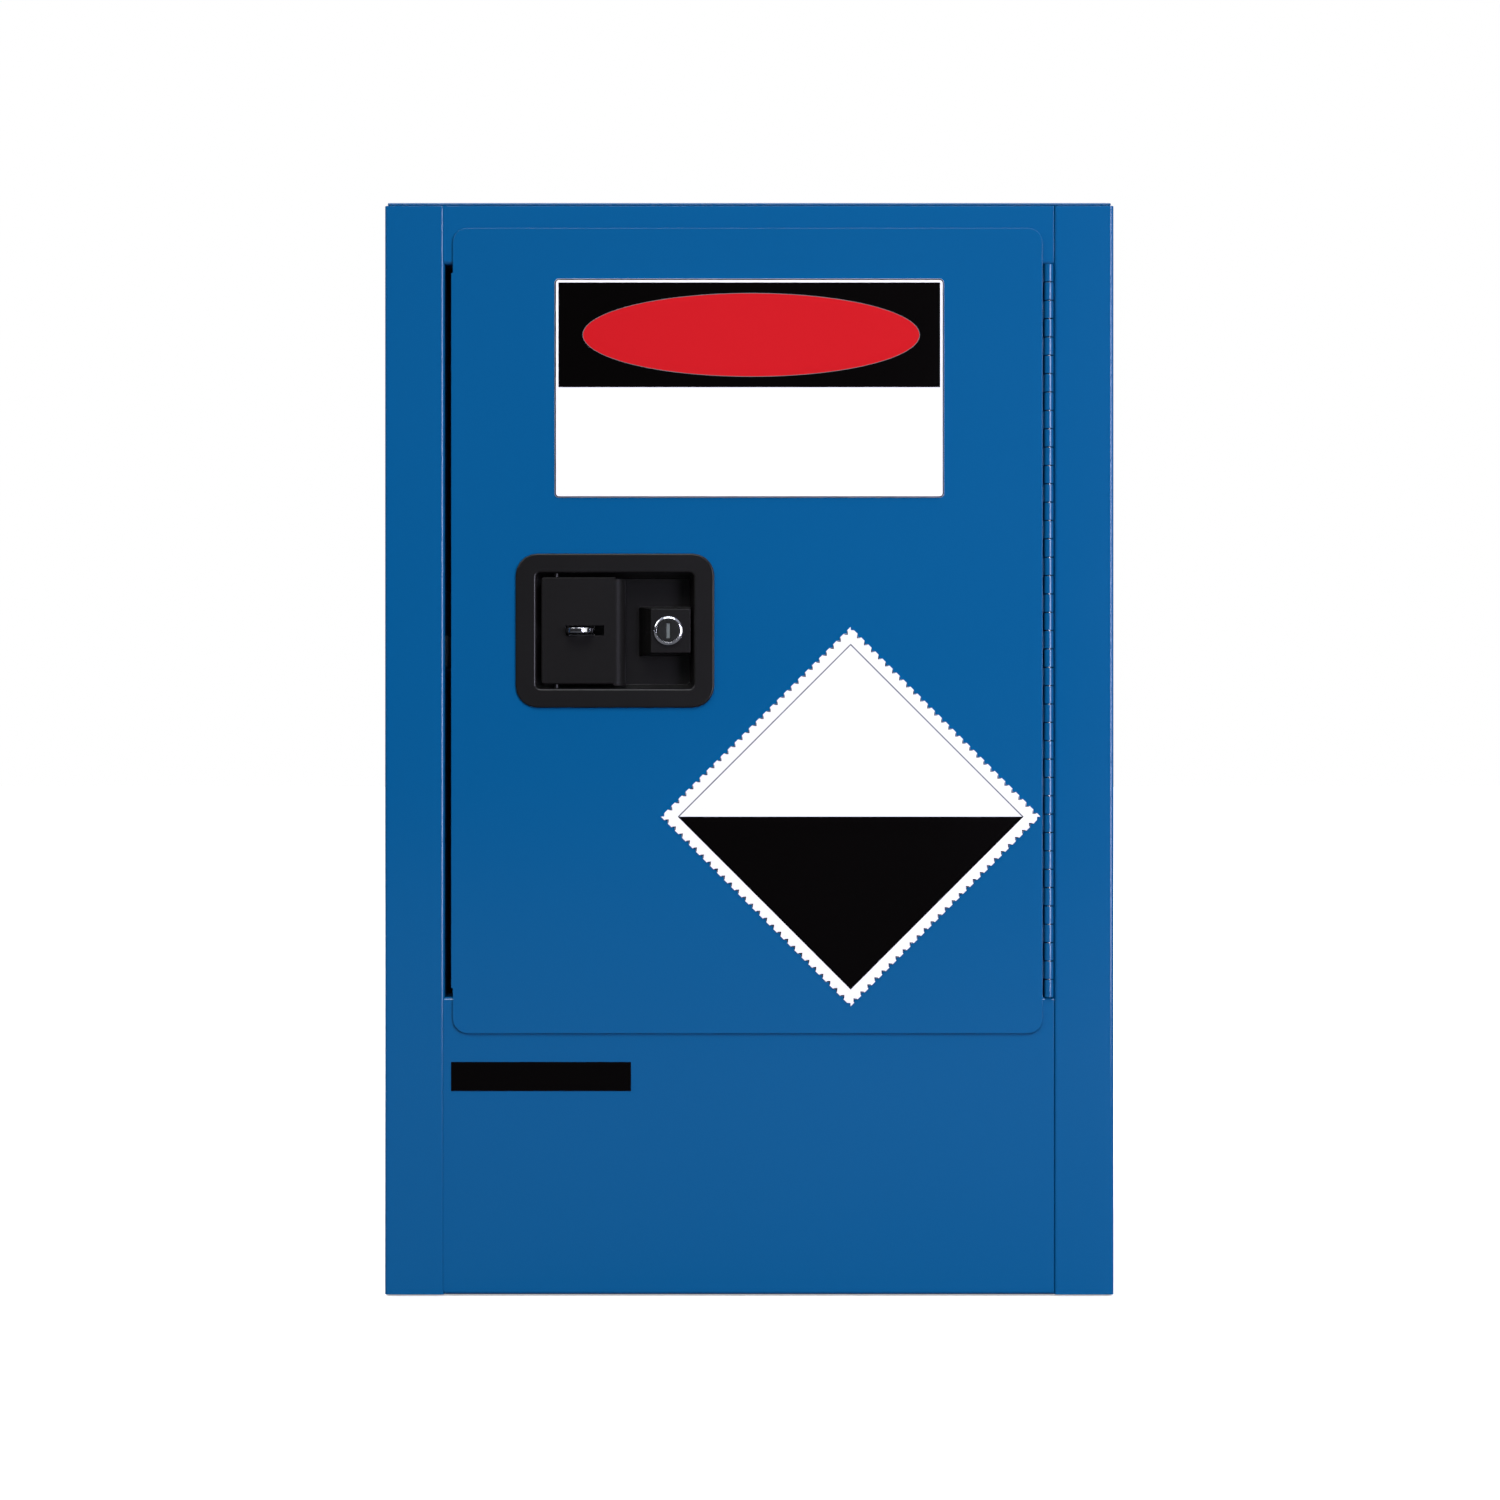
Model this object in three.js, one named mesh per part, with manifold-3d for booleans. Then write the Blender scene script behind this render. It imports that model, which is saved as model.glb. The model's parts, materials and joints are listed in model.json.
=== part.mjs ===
// A small corrosive storage cabinet in folded sheet steel: a double-walled body on
// levelling feet, one right-hung door on a piano hinge, a recessed paddle latch that
// draws two locking rods, a shelf, a sump with its tray, and two vents.
// Millimetres, +Z up, the door faces -Y. The origin is on the floor under the middle
// of the overall width and the overall depth, padlock hasp included.

import * as THREE from 'three';
import { mergeVertices } from 'three/addons/utils/BufferGeometryUtils.js';
import Module from 'manifold-3d';

const wasm = await Module();
wasm.setup();

// Body sizes
const WIDTH = 500;
const HEIGHT = 750;
const DEPTH = 450;
const SHEET = 1.2;
const BEND = 1.2; // inside radius of a folded edge
const SIDE_WALL = 41; // outside of a side panel to the compartment
const BACK_WALL = 41;
const TOP_WALL = 42.2; // top of the cabinet to the head of the door opening
const SILL = 205.2; // floor to the sill of the door opening
const JAMB_DEPTH = 39; // front of the side panels to the liner
const FLOOR_GAP = 1.2; // the panels end this far above the floor
const RAIL_RECESS = 0.2; // rails stand back from the side panels
const RAIL_FLANGE = 15;
const REAR_FLANGE = 15;
const TOP_SHEET = 2;
const TOP_INSET = 2;
const TOP_FLANGE = 12;
const HASP_REACH = 15; // padlock hasp in front of the side panels
const FIT = 0.3; // clearance of fitted parts
const OVERRUN = 5; // a cutter passes the face that it cuts by this much

// Base, feet and liner
const BASE_RISE = 10;
const BASE_FLANGE = 20;
const CHANNEL_WIDTH = 40;
const CHANNEL_INSET = 70; // end of the liner to the middle of a cross channel
const CHANNEL_END_GAP = 58;
const WELD_NUT_RADIUS = 7.5;
const WELD_NUT_HEIGHT = 6.8;
const FOOT_INSET_X = 32;
const FOOT_INSET_Y = 62;
const FOOT_RADIUS = 18;
const FOOT_PAD = 4;
const FOOT_SHOULDER = 6;
const STUD_RADIUS = 4;
const STUD_END = 14; // stud above its weld nut
const SUMP_DEPTH = 150;
const SUMP_DROP = 4; // sill sheet to the rim of the sump
const LINER_FLANGE = 15;
const TRAY_WALL = 3;
const TRAY_GAP = 2;
const SUMP_TRAY_HEIGHT = 138;

// Shelf
const SLOT_RISE = 84.8; // sill to the lowest row of shelf slots
const SLOT_PITCH = 45;
const SLOT_ROOM = 80; // least height over the highest row of slots
const SHELF_ROW = 3;
const SLOT_WIDTH = 12;
const SLOT_HEIGHT = 8;
const CLIP_SHEET = 1.5;
const CLIP_WIDTH = 20;
const CLIP_TAB = 14;
const CLIP_HOOK = 6;
const CLIP_INSET = 55; // shelf edge to the middle of a clip
const SHELF_GAP = 3.5;
const SHELF_SETBACK = 16;
const SHELF_FLANGE = 22;
const SHELF_TRAY_HEIGHT = 32;

// Vents
const VENT_RADIUS = 26;
const VENT_BORE = 22;
const VENT_FLANGE = 6;
const VENT_FLANGE_SHEET = 2;
const VENT_SETBACK = 105; // back of the cabinet to the middle of a vent
const VENT_DROP = 67.8; // head of the opening to the left vent
const VENT_RISE = 56.8; // sill to the right vent
const CAP_DEPTH = 9;
const CAP_SOCKET = 12;
const CAP_SOCKET_DEPTH = 5;
const ARRESTER_SHEET = 2;
const ARRESTER_HOLE = 2.1;
const ARRESTER_RINGS = 2;
const ARRESTER_PITCH = 7.6;

// Door and hinge
const DOOR_SHEET = 1.5;
const DOOR_GAP = 0.4; // door skin in front of the rails
const DOOR_LAP = 24.7; // door skin over the head and the sill
const DOOR_SIDE_GAP = 4.7; // latch side of the door to its jamb
const LAP_RELIEF = 1.1; // the laps are cut back from the latch side
const DOOR_BOX_GAP = 6.2; // door box to the head and to the sill
const DOOR_CORNER = 10;
const DOOR_BACK_GAP = 0.8; // back of the door in front of the liner
const INNER_FLANGE = 5;
const BARREL_RADIUS = 3.2;
const HINGE_PIN_RADIUS = 1.2;
const HINGE_BORE_RADIUS = 1.5;
const HINGE_LEAF = 1;
const HINGE_LEAF_WIDTH = 26;
const HINGE_OFFSET = 0.5; // hinge axis behind the front of the side panels
const KNUCKLES = 40;

// Recessed handle
const HOUSING_WIDTH = 136.1;
const HOUSING_HEIGHT = 105.6;
const HOUSING_CORNER = 15;
const HOUSING_SETBACK = 112.3; // latch side of the door to the middle of the handle
const HANDLE_GAP = 38.3; // upper placard to the handle
const HOUSING_FLANGE = 1.7;
const FLANGE_ROUND = 1.2; // rounded outer edge of the flange
const LIP_ROUND = 1.6; // rounded mouth of the tub
const GASKET_SHEET = 0.5;
const GASKET_INSET = 1;
const TUB_WIDTH = 107.8;
const TUB_HEIGHT = 79.2;
const TUB_CORNER = 3;
const TUB_WALL = 1.8;
const TUB_DRAFT = 3; // the tub is this much smaller all round at its floor
const PADDLE_WIDTH = 57.6;
const PADDLE_SIDE_GAP = 3.4;
const PADDLE_END_GAP = 2.9;
const PADDLE_SHEET = 2.5;
const PADDLE_SINK = 0.5; // paddle face behind the face of the housing
const PADDLE_CORNER = 2;
const PADDLE_ROUND = 1.2; // rounded edges of the plate
const PADDLE_CURL = 4.4;
const CURL_DROP = 1.2; // the curled edge sits lower than the plate
const PADDLE_CURL_DEPTH = 9;
const PIVOT_INSET = 13.4; // side of the tub to the paddle pin
const PIVOT_DEPTH = 3.4; // back of the paddle to its pin
const PADDLE_PIN_RADIUS = 2;
const PIN_GRIP = 1.3; // paddle pin in each wall of the tub
const KNUCKLE_RADIUS = 4;
const KNUCKLE_LENGTH = 10;
const KNUCKLE_INSET = 2.5;
const KNUCKLE_WEB = 6;
const LEG_WIDTH = 6;
const LEG_HEIGHT = 8;
const NOSE_GAP = 1.4; // leg to the nose of the rotor
const SPRING_RADIUS = 2.7;
const SPRING_WIRE = 0.4;
const SPRING_LENGTH = 22;
const SPRING_TURNS = 7;
const HASP_WIDTH = 18.6;
const HASP_SHEET = 3.4;
const HASP_EYE = 3.5;
const HASP_EYE_EDGE = 3.6;
const HASP_FOOT = 14;
const HASP_FOOT_SHEET = 1.5;
const PADLOCK_SLOT_WIDTH = 26.2;
const PADLOCK_SLOT_HEIGHT = 6.8;
const PADLOCK_SLOT_OFFSET = 6.7; // paddle pin to the padlock slot
const HASP_SIDE_GAP = 0.5;

// Lock
const LOCK_INSET = 17.4; // side of the tub to the middle of the lock
const LOCK_BOSS_HEIGHT = 30;
const LOCK_BOSS_LEFT = 12;
const LOCK_BOSS_RIGHT = 15.2;
const LOCK_RAMP = 8.8;
const LOCK_BOSS_DRAFT = 2; // slope of the top and the bottom of the boss
const LOCK_SINK = 3.4; // lock boss behind the face of the housing
const LOCK_RING_RADIUS = 9.95;
const LOCK_RING_RISE = 2.5;
const BARREL_BODY_RADIUS = 9.2;
const LOCK_BORE_RADIUS = 8;
const PLUG_RADIUS = 7.7;
const PLUG_SINK = 0.4;
const KEY_SLOT_WIDTH = 2.6;
const KEY_SLOT_HEIGHT = 10.2;
const KEY_SLOT_DEPTH = 14;
const LOCK_NUT_RADIUS = 12;
const LOCK_NUT_HEIGHT = 4;
const BARREL_TAIL = 4.5; // barrel behind the floor of the tub
const PLUG_TAIL_RADIUS = 3;
const CAM_SHEET = 2;
const CAM_WIDTH = 10;
const CAM_LENGTH = 22;

// Rods, rotor and bracket
const ROD_RADIUS = 4;
const ROD_END_SHEET = 3;
const ROD_END_WIDTH = 11;
const ROD_GAP = 0.5;
const ROTOR_SHEET = 3;
const ROTOR_GAP = 0.8;
const ROTOR_OFFSET = 14.5; // paddle pin to the rotor axle
const ROTOR_ARM = 15; // rotor axle to a rod pin
const ROTOR_ARM_WIDTH = 9;
const ROTOR_HUB_RADIUS = 9;
const ROTOR_LEVER = 20.7; // rotor axle to the nose that the paddle leg pushes
const ROTOR_SWING = THREE.MathUtils.degToRad(30);
const ROD_PIN_RADIUS = 2.5;
const ROD_SLOT_PLAY = 0.6;
const AXLE_RADIUS = 5;
const ROD_END_LENGTH = 28; // rotor axle to the round part of a rod
const BOLT_GAP = 0.7; // rod tip short of the head or the sill
const BOLT_CHAMFER = 1;
const BOLT_HOLE_RADIUS = 5;
const BRACKET_SHEET = 1.5;
const BRACKET_GAP = 5.3; // bracket to the inner skin of the door
const BRACKET_WIDTH = 60;
const BRACKET_SIDE_GAP = 5.1; // tub to a leg of the bracket
const SCREW_RADIUS = 1.5;
const SCREW_HEAD_RADIUS = 4.5;
const SCREW_HEAD_HEIGHT = 2.3;
const SCREW_LENGTH = 8;
const GUIDE_RADIUS = 6;
const GUIDE_LENGTH = 12;
const GUIDE_NECK_RADIUS = 4.9;
const STRIKE_WIDTH = 30;
const STRIKE_DEPTH = 18;
const STRIKE_SHEET = 2;

// Placards
const PLACARD_SHEET = 0.8;
const UPPER_WIDTH = 266.7;
const UPPER_HEIGHT = 150;
const UPPER_CORNER = 3;
const UPPER_DROP = 10.2; // head of the opening to the upper placard
const DIAMOND_HALF = 130; // middle of the diamond to a corner
const DIAMOND_MARGIN = 1.6;
const DIAMOND_GAP = 37.95; // handle to the edge of the diamond, straight down
const DIAMOND_TEETH = 27; // on each side
const DIAMOND_TOOTH = 3.2;
const LABEL_WIDTH = 123.4;
const LABEL_HEIGHT = 19.9;
const LABEL_SHEET = 0.5;
const LABEL_INSET = 4.5; // jamb to the label
const LABEL_DROP = 54.3; // sill to the middle of the label

// Counts of facets
const BEND_STEPS = 3;
const CORNER_STEPS = 5;
const EDGE_STEPS = 3;
const SMALL_SIDES = 12;
const ROUND_SIDES = 20;
const FINE_SIDES = 28;
const WELD_DISTANCE = 1e-4;

// Planes that several pieces share
const FRONT = -DEPTH / 2 + HASP_REACH / 2;
const REAR = FRONT + DEPTH;
const SIDE = WIDTH / 2;
const OPENING = SIDE - SIDE_WALL;
const HEAD = HEIGHT - TOP_WALL;
const ROOF = HEIGHT - TOP_SHEET;
const RAIL_FACE = FRONT + RAIL_RECESS;
const LINER_FRONT = FRONT + JAMB_DEPTH + FIT;
const LINER_REAR = REAR - BACK_WALL;
const SUMP_TOP = SILL - SHEET - SUMP_DROP;
const SUMP_FLOOR = SUMP_TOP - SUMP_DEPTH;
const LINER_BOTTOM = SUMP_FLOOR - SHEET;
const BACK_FACE = REAR - SHEET;

const FOLD = BEND + SHEET;
const VENT_HIGH = HEAD - VENT_DROP;
const VENT_LOW = SILL + VENT_RISE;
const SLOT_FIRST = SILL + SLOT_RISE;
const SLOT_ROWS = 1 + Math.floor((HEAD - SLOT_FIRST - SLOT_ROOM) / SLOT_PITCH);
const SLOT_Z = SLOT_FIRST + SHELF_ROW * SLOT_PITCH;
const SHELF_HALF = OPENING - SHELF_GAP;
const SHELF_FRONT = LINER_FRONT + SHELF_SETBACK;
const SHELF_REAR = LINER_REAR - SHELF_SETBACK / 2;
const CLIP_TOP = SLOT_Z + SLOT_HEIGHT;
const SHELF_TOP = CLIP_TOP + SHELF_FLANGE;
const CLIP_PLACES = [SHELF_FRONT + CLIP_INSET, SHELF_REAR - CLIP_INSET];

const DOOR_REAR_OF_SKIN = RAIL_FACE - DOOR_GAP;
const DOOR_FACE = DOOR_REAR_OF_SKIN - DOOR_SHEET;
const DOOR_LEFT = -OPENING + DOOR_SIDE_GAP;
const HINGE_X = OPENING - FIT - BARREL_RADIUS;
const HINGE_Y = FRONT + HINGE_OFFSET;
const DOOR_RIGHT = HINGE_X - BARREL_RADIUS - FIT - HINGE_LEAF;
const DOOR_BACK = FRONT + JAMB_DEPTH - DOOR_BACK_GAP;
const INNER_SKIN = DOOR_BACK - SHEET;
const BOX_BOTTOM = SILL + DOOR_BOX_GAP;
const BOX_TOP = HEAD - DOOR_BOX_GAP;

const HANDLE_X = DOOR_LEFT + HOUSING_SETBACK;
const PLACARD_BOTTOM = HEAD - UPPER_DROP - UPPER_HEIGHT;
const HANDLE_Z = PLACARD_BOTTOM - HANDLE_GAP - HOUSING_HEIGHT / 2;
const TUB_LEFT = HANDLE_X - TUB_WIDTH / 2;
const TUB_RIGHT = HANDLE_X + TUB_WIDTH / 2;
const HOUSING_BACK = DOOR_FACE - GASKET_SHEET;
const HOUSING_FACE = HOUSING_BACK - HOUSING_FLANGE;
const BRACKET_FACE = INNER_SKIN - BRACKET_GAP - BRACKET_SHEET;
const ROD_Y = BRACKET_FACE - ROD_GAP - ROD_RADIUS;
const ROTOR_BACK = ROD_Y - ROD_END_SHEET / 2 - FIT;
const ROTOR_FACE = ROTOR_BACK - ROTOR_SHEET;
const TUB_BACK = ROTOR_FACE - ROTOR_GAP;
const TUB_FLOOR = TUB_BACK - TUB_WALL;
const PADDLE_FACE = HOUSING_FACE + PADDLE_SINK;
const PADDLE_LEFT = TUB_LEFT + PADDLE_SIDE_GAP;
const PADDLE_HALF = TUB_HEIGHT / 2 - PADDLE_END_GAP;
const PIVOT_X = TUB_LEFT + PIVOT_INSET;
const PIVOT_Y = PADDLE_FACE + PADDLE_SHEET + PIVOT_DEPTH;
const ROTOR_X = PIVOT_X + ROTOR_OFFSET;
const HALF_SWING = ROTOR_SWING / 2;
const PIN_REACH = ROTOR_ARM * Math.cos(HALF_SWING);
const PIN_RISE = ROTOR_ARM * Math.sin(HALF_SWING);
const ROD_REACH = (ROTOR_ARM + PIN_REACH) / 2;
const TOP_ROD_X = ROTOR_X + ROD_REACH;
const BOTTOM_ROD_X = ROTOR_X - ROD_REACH;
const LEVER_Z = HANDLE_Z + ROTOR_LEVER * Math.cos(HALF_SWING);
const LEVER_X = ROTOR_X - ROTOR_LEVER * Math.sin(HALF_SWING);
const LEG_SWEEP = LEG_WIDTH / 2 * Math.cos(ROTOR_SWING)
  + (ROTOR_BACK - PIVOT_Y) * Math.sin(ROTOR_SWING) + FIT;
const PADLOCK_SLOT_LEFT = PIVOT_X + PADLOCK_SLOT_OFFSET;
const LOCK_X = TUB_RIGHT - LOCK_INSET;
const LOCK_FACE = HOUSING_FACE + LOCK_SINK;
const CAM_FACE = TUB_BACK + BARREL_TAIL + FIT;
const DIAMOND_X = DOOR_RIGHT - DIAMOND_MARGIN - DIAMOND_HALF;
const UNDER_HANDLE = HANDLE_X + HOUSING_WIDTH / 2 - (DIAMOND_X - DIAMOND_HALF);
const DIAMOND_Z = HANDLE_Z - HOUSING_HEIGHT / 2 - DIAMOND_GAP - UNDER_HANDLE;

// Solids and how they are joined and cut
function solidOf(geometry) {
  const bare = geometry.clone();
  bare.deleteAttribute('normal');
  bare.deleteAttribute('uv');
  const merged = mergeVertices(bare, WELD_DISTANCE);
  const corners = Array.from(merged.index.array);
  const kept = [];
  for (let i = 0; i < corners.length; i += 3) {
    const [a, b, c] = corners.slice(i, i + 3);
    if (a !== b && b !== c && c !== a) kept.push(a, b, c);
  }
  return new wasm.Manifold(new wasm.Mesh({
    numProp: 3,
    vertProperties: new Float32Array(merged.attributes.position.array),
    triVerts: new Uint32Array(kept),
  }));
}

function geometryOf(solid) {
  const mesh = solid.getMesh();
  const geometry = new THREE.BufferGeometry();
  geometry.setAttribute('position', new THREE.BufferAttribute(mesh.vertProperties, 3));
  geometry.setIndex(new THREE.BufferAttribute(mesh.triVerts, 1));
  geometry.computeVertexNormals();
  return geometry;
}

function join(first, ...others) {
  return others.reduce((whole, piece) => whole.add(piece), first);
}

function cut(body, ...tools) {
  return tools.reduce((rest, tool) => rest.subtract(tool), body);
}

// A box between two corners.
function block(x0, x1, y0, y1, z0, z1) {
  const geometry = new THREE.BoxGeometry(
    Math.abs(x1 - x0), Math.abs(y1 - y0), Math.abs(z1 - z0));
  geometry.translate((x0 + x1) / 2, (y0 + y1) / 2, (z0 + z1) / 2);
  return solidOf(geometry);
}

// An open box: a block less the block inside its walls, open on the side named.
function openBox(x0, x1, y0, y1, z0, z1, wall, openSide) {
  const outer = block(x0, x1, y0, y1, z0, z1);
  const inner = {
    x0: x0 + wall, x1: x1 - wall, y0: y0 + wall, y1: y1 - wall, z0: z0 + wall, z1: z1 - wall,
  };
  if (openSide === 'top') inner.z1 = z1 + OVERRUN;
  if (openSide === 'bottom') inner.z0 = z0 - OVERRUN;
  if (openSide === 'front') inner.y0 = y0 - OVERRUN;
  return cut(outer, block(inner.x0, inner.x1, inner.y0, inner.y1, inner.z0, inner.z1));
}

// Turns the drawing plane and the sweep of an extrusion to the axis that it runs along.
const sweepBases = {
  x: new THREE.Matrix4().makeBasis(
    new THREE.Vector3(0, 1, 0), new THREE.Vector3(0, 0, 1), new THREE.Vector3(1, 0, 0)),
  y: new THREE.Matrix4().makeBasis(
    new THREE.Vector3(1, 0, 0), new THREE.Vector3(0, 0, 1), new THREE.Vector3(0, -1, 0)),
  z: new THREE.Matrix4(),
};

// Extrudes an outline along an axis. Along X it is drawn in (y, z), along Y in (x, z)
// and along Z in (x, y).
function sweep(outline, axis, from, to, holes = []) {
  const shape = new THREE.Shape(outline);
  for (const hole of holes) shape.holes.push(new THREE.Path(hole));
  const geometry = new THREE.ExtrudeGeometry(shape, { depth: to - from, bevelEnabled: false });
  geometry.applyMatrix4(sweepBases[axis]);
  const start = axis === 'y' ? to : from;
  const shift = { x: 0, y: 0, z: 0, [axis]: start };
  geometry.translate(shift.x, shift.y, shift.z);
  return solidOf(geometry);
}

// Points of an arc about a middle, from one angle to another.
function arc(u, v, radius, from, to, steps) {
  const points = [];
  for (let i = 0; i <= steps; i += 1) {
    const angle = from + (to - from) * i / steps;
    points.push(new THREE.Vector2(u + radius * Math.cos(angle), v + radius * Math.sin(angle)));
  }
  return points;
}

function circle(u, v, radius, sides) {
  return arc(u, v, radius, 0, 2 * Math.PI, sides).slice(0, sides);
}

function roundedRectangle(u0, u1, v0, v1, radius) {
  const quarter = Math.PI / 2;
  return [
    ...arc(u1 - radius, v1 - radius, radius, 0, quarter, CORNER_STEPS),
    ...arc(u0 + radius, v1 - radius, radius, quarter, 2 * quarter, CORNER_STEPS),
    ...arc(u0 + radius, v0 + radius, radius, 2 * quarter, 3 * quarter, CORNER_STEPS),
    ...arc(u1 - radius, v0 + radius, radius, 3 * quarter, 4 * quarter, CORNER_STEPS),
  ];
}

// A round bar along an axis through the point (u, v), given as in sweep.
function bar(axis, u, v, radius, from, to, sides = SMALL_SIDES) {
  return sweep(circle(u, v, radius, sides), axis, from, to);
}

function tube(axis, u, v, radius, bore, from, to, sides = SMALL_SIDES) {
  return sweep(circle(u, v, radius, sides), axis, from, to, [circle(u, v, bore, sides)]);
}

// Stacks outlines, each drawn in (x, z) with as many points, from the front to the back.
function loft(rings) {
  const count = rings[0].outline.length;
  const positions = rings.flatMap(
    ({ outline, y }) => outline.flatMap((point) => [point.x, y, point.y]));
  const corners = [];
  for (let ring = 0; ring + 1 < rings.length; ring += 1) {
    for (let i = 0; i < count; i += 1) {
      const a = ring * count + i;
      const b = ring * count + (i + 1) % count;
      corners.push(a, a + count, b + count, a, b + count, b);
    }
  }
  const last = (rings.length - 1) * count;
  for (let i = 1; i + 1 < count; i += 1) {
    corners.push(0, i, i + 1, last, last + i + 1, last + i);
  }
  const geometry = new THREE.BufferGeometry();
  geometry.setAttribute('position', new THREE.Float32BufferAttribute(positions, 3));
  geometry.setIndex(corners);
  return solidOf(geometry);
}

// The steps of a rounded edge: how far each ring is drawn in, and how deep it lies.
function roundedEdge(radius) {
  return arc(0, 0, radius, 0, Math.PI / 2, EDGE_STEPS).map(
    (point) => ({ inset: radius - point.y, depth: radius - point.x }));
}

// The section of a folded sheet: a middle line through its corners, rounded at each
// fold, with half the sheet on either side.
function foldedSection(corners, sheet, insideRadius) {
  const half = sheet / 2;
  const leftSide = [];
  const rightSide = [];
  const place = (point, normal) => {
    leftSide.push(point.clone().addScaledVector(normal, half));
    rightSide.push(point.clone().addScaledVector(normal, -half));
  };
  const points = corners.map(([u, v]) => new THREE.Vector2(u, v));
  const heading = (i) => points[i + 1].clone().sub(points[i]).normalize();
  const leftOf = (way) => new THREE.Vector2(-way.y, way.x);
  const last = points.length - 1;
  place(points[0], leftOf(heading(0)));
  for (let i = 1; i < last; i += 1) {
    const into = heading(i - 1);
    const away = heading(i);
    const turn = Math.atan2(into.cross(away), into.dot(away));
    const side = Math.sign(turn);
    const radius = insideRadius + half;
    const reach = radius * Math.tan(Math.abs(turn) / 2);
    const start = points[i].clone().addScaledVector(into, -reach);
    const middle = start.clone().addScaledVector(leftOf(into), side * radius);
    for (let step = 0; step <= BEND_STEPS; step += 1) {
      const angle = turn * step / BEND_STEPS;
      const normal = leftOf(into).rotateAround(new THREE.Vector2(), angle);
      place(middle.clone().addScaledVector(normal, -side * radius), normal);
    }
  }
  place(points[last], leftOf(heading(last - 1)));
  return [...leftSide, ...rightSide.reverse()];
}

function folded(corners, axis, from, to, sheet = SHEET) {
  return sweep(foldedSection(corners, sheet, BEND), axis, from, to);
}

// A turned piece: points as [radius, height], turned about X, Y or Z.
function turned(profile, axis, sides) {
  const points = profile.map(([radius, height]) => new THREE.Vector2(radius, height));
  const geometry = new THREE.LatheGeometry(points, sides);
  if (axis === 'z') geometry.rotateX(Math.PI / 2);
  if (axis === 'x') geometry.rotateZ(-Math.PI / 2);
  return solidOf(geometry);
}

// Finishes
function finish(color, roughness, metalness) {
  return new THREE.MeshStandardMaterial({ color, roughness, metalness, flatShading: true });
}

const bluePaint = finish(0x125c99, 0.4, 0.1);
const galvanised = finish(0x9fa5a8, 0.45, 0.9);
const stainless = finish(0xb9bcbe, 0.3, 1);
const zincPlate = finish(0xaeb2b5, 0.35, 0.9);
const blackCasting = finish(0x201f1f, 0.35, 0.1);
const blackRubber = finish(0x171717, 0.8, 0);
const chrome = finish(0xd9dbdd, 0.12, 1);
const nylon = finish(0xe6e4dc, 0.5, 0);
const bluePlastic = finish(0x2a5f93, 0.55, 0);
const placardWhite = finish(0xf2f2f0, 0.45, 0);
const labelBlack = finish(0x141414, 0.4, 0);

const cabinet = new THREE.Group();
const door = new THREE.Group();
const paddleGroup = new THREE.Group();
cabinet.add(door);
door.add(paddleGroup);

function addPiece(parent, name, solid, material, x = 0, y = 0, z = 0) {
  const mesh = new THREE.Mesh(geometryOf(solid), material);
  mesh.name = name;
  mesh.position.set(x, y, z);
  parent.add(mesh);
}

// Side panels: jamb, front flange, wall and rear flange folded from one sheet.
function sidePanel(side, ventZ) {
  const half = SHEET / 2;
  const section = [
    [side * (OPENING + half), FRONT + JAMB_DEPTH],
    [side * (OPENING + half), FRONT + half],
    [side * (SIDE - half), FRONT + half],
    [side * (SIDE - half), REAR - half],
    [side * (SIDE - REAR_FLANGE), REAR - half],
  ];
  const sheet = folded(section, 'z', FLOOR_GAP, ROOF);
  const reach = [side * (SIDE - SHEET - OVERRUN), side * (SIDE + OVERRUN)].sort((a, b) => a - b);
  const ventHole = bar('x', REAR - VENT_SETBACK, ventZ, VENT_RADIUS + FIT, ...reach, FINE_SIDES);
  return cut(sheet, ventHole);
}

// Top panel: a flat lid with short flanges inside the side and back panels.
function topPanel() {
  const half = SIDE - TOP_INSET;
  const lid = block(-half, half, RAIL_FACE, REAR - SHEET, ROOF, HEIGHT);
  const flangeFront = LINER_FRONT + OVERRUN;
  const flangeRear = REAR - 2 * SHEET - BEND - FIT;
  const outside = SIDE - SHEET - FIT;
  const inside = outside - SHEET;
  const low = ROOF - TOP_FLANGE;
  const grip = ROOF + TOP_SHEET / 2;
  return join(
    lid,
    block(-outside, -inside, flangeFront, flangeRear, low, grip),
    block(inside, outside, flangeFront, flangeRear, low, grip),
  );
}

function backPanel() {
  const half = SIDE - SHEET - BEND - FIT;
  return block(-half, half, BACK_FACE - SHEET, BACK_FACE, FLOOR_GAP, ROOF);
}

// Front rails, folded sheets with a return into the opening. Their left ends fill the
// groove beside the fold of the side panel.
function boltHole(x, from, to) {
  return bar('z', x, ROD_Y, BOLT_HOLE_RADIUS, from, to, ROUND_SIDES);
}

function sideFold(from, to) {
  const low = from - OVERRUN;
  const high = to + OVERRUN;
  return join(
    bar('z', -OPENING - FOLD, FRONT + FOLD, FOLD + FIT, low, high, FINE_SIDES),
    block(-OPENING - FOLD - OVERRUN, -OPENING, FRONT + FOLD, LINER_FRONT, low, high),
  );
}

function frontTopRail() {
  const half = SHEET / 2;
  const section = [
    [RAIL_FACE + half, ROOF],
    [RAIL_FACE + half, HEAD + half],
    [FRONT + JAMB_DEPTH, HEAD + half],
  ];
  const rail = folded(section, 'x', -OPENING - FOLD, OPENING);
  return cut(rail, sideFold(HEAD, ROOF), boltHole(TOP_ROD_X, HEAD - OVERRUN, HEAD + OVERRUN));
}

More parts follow.
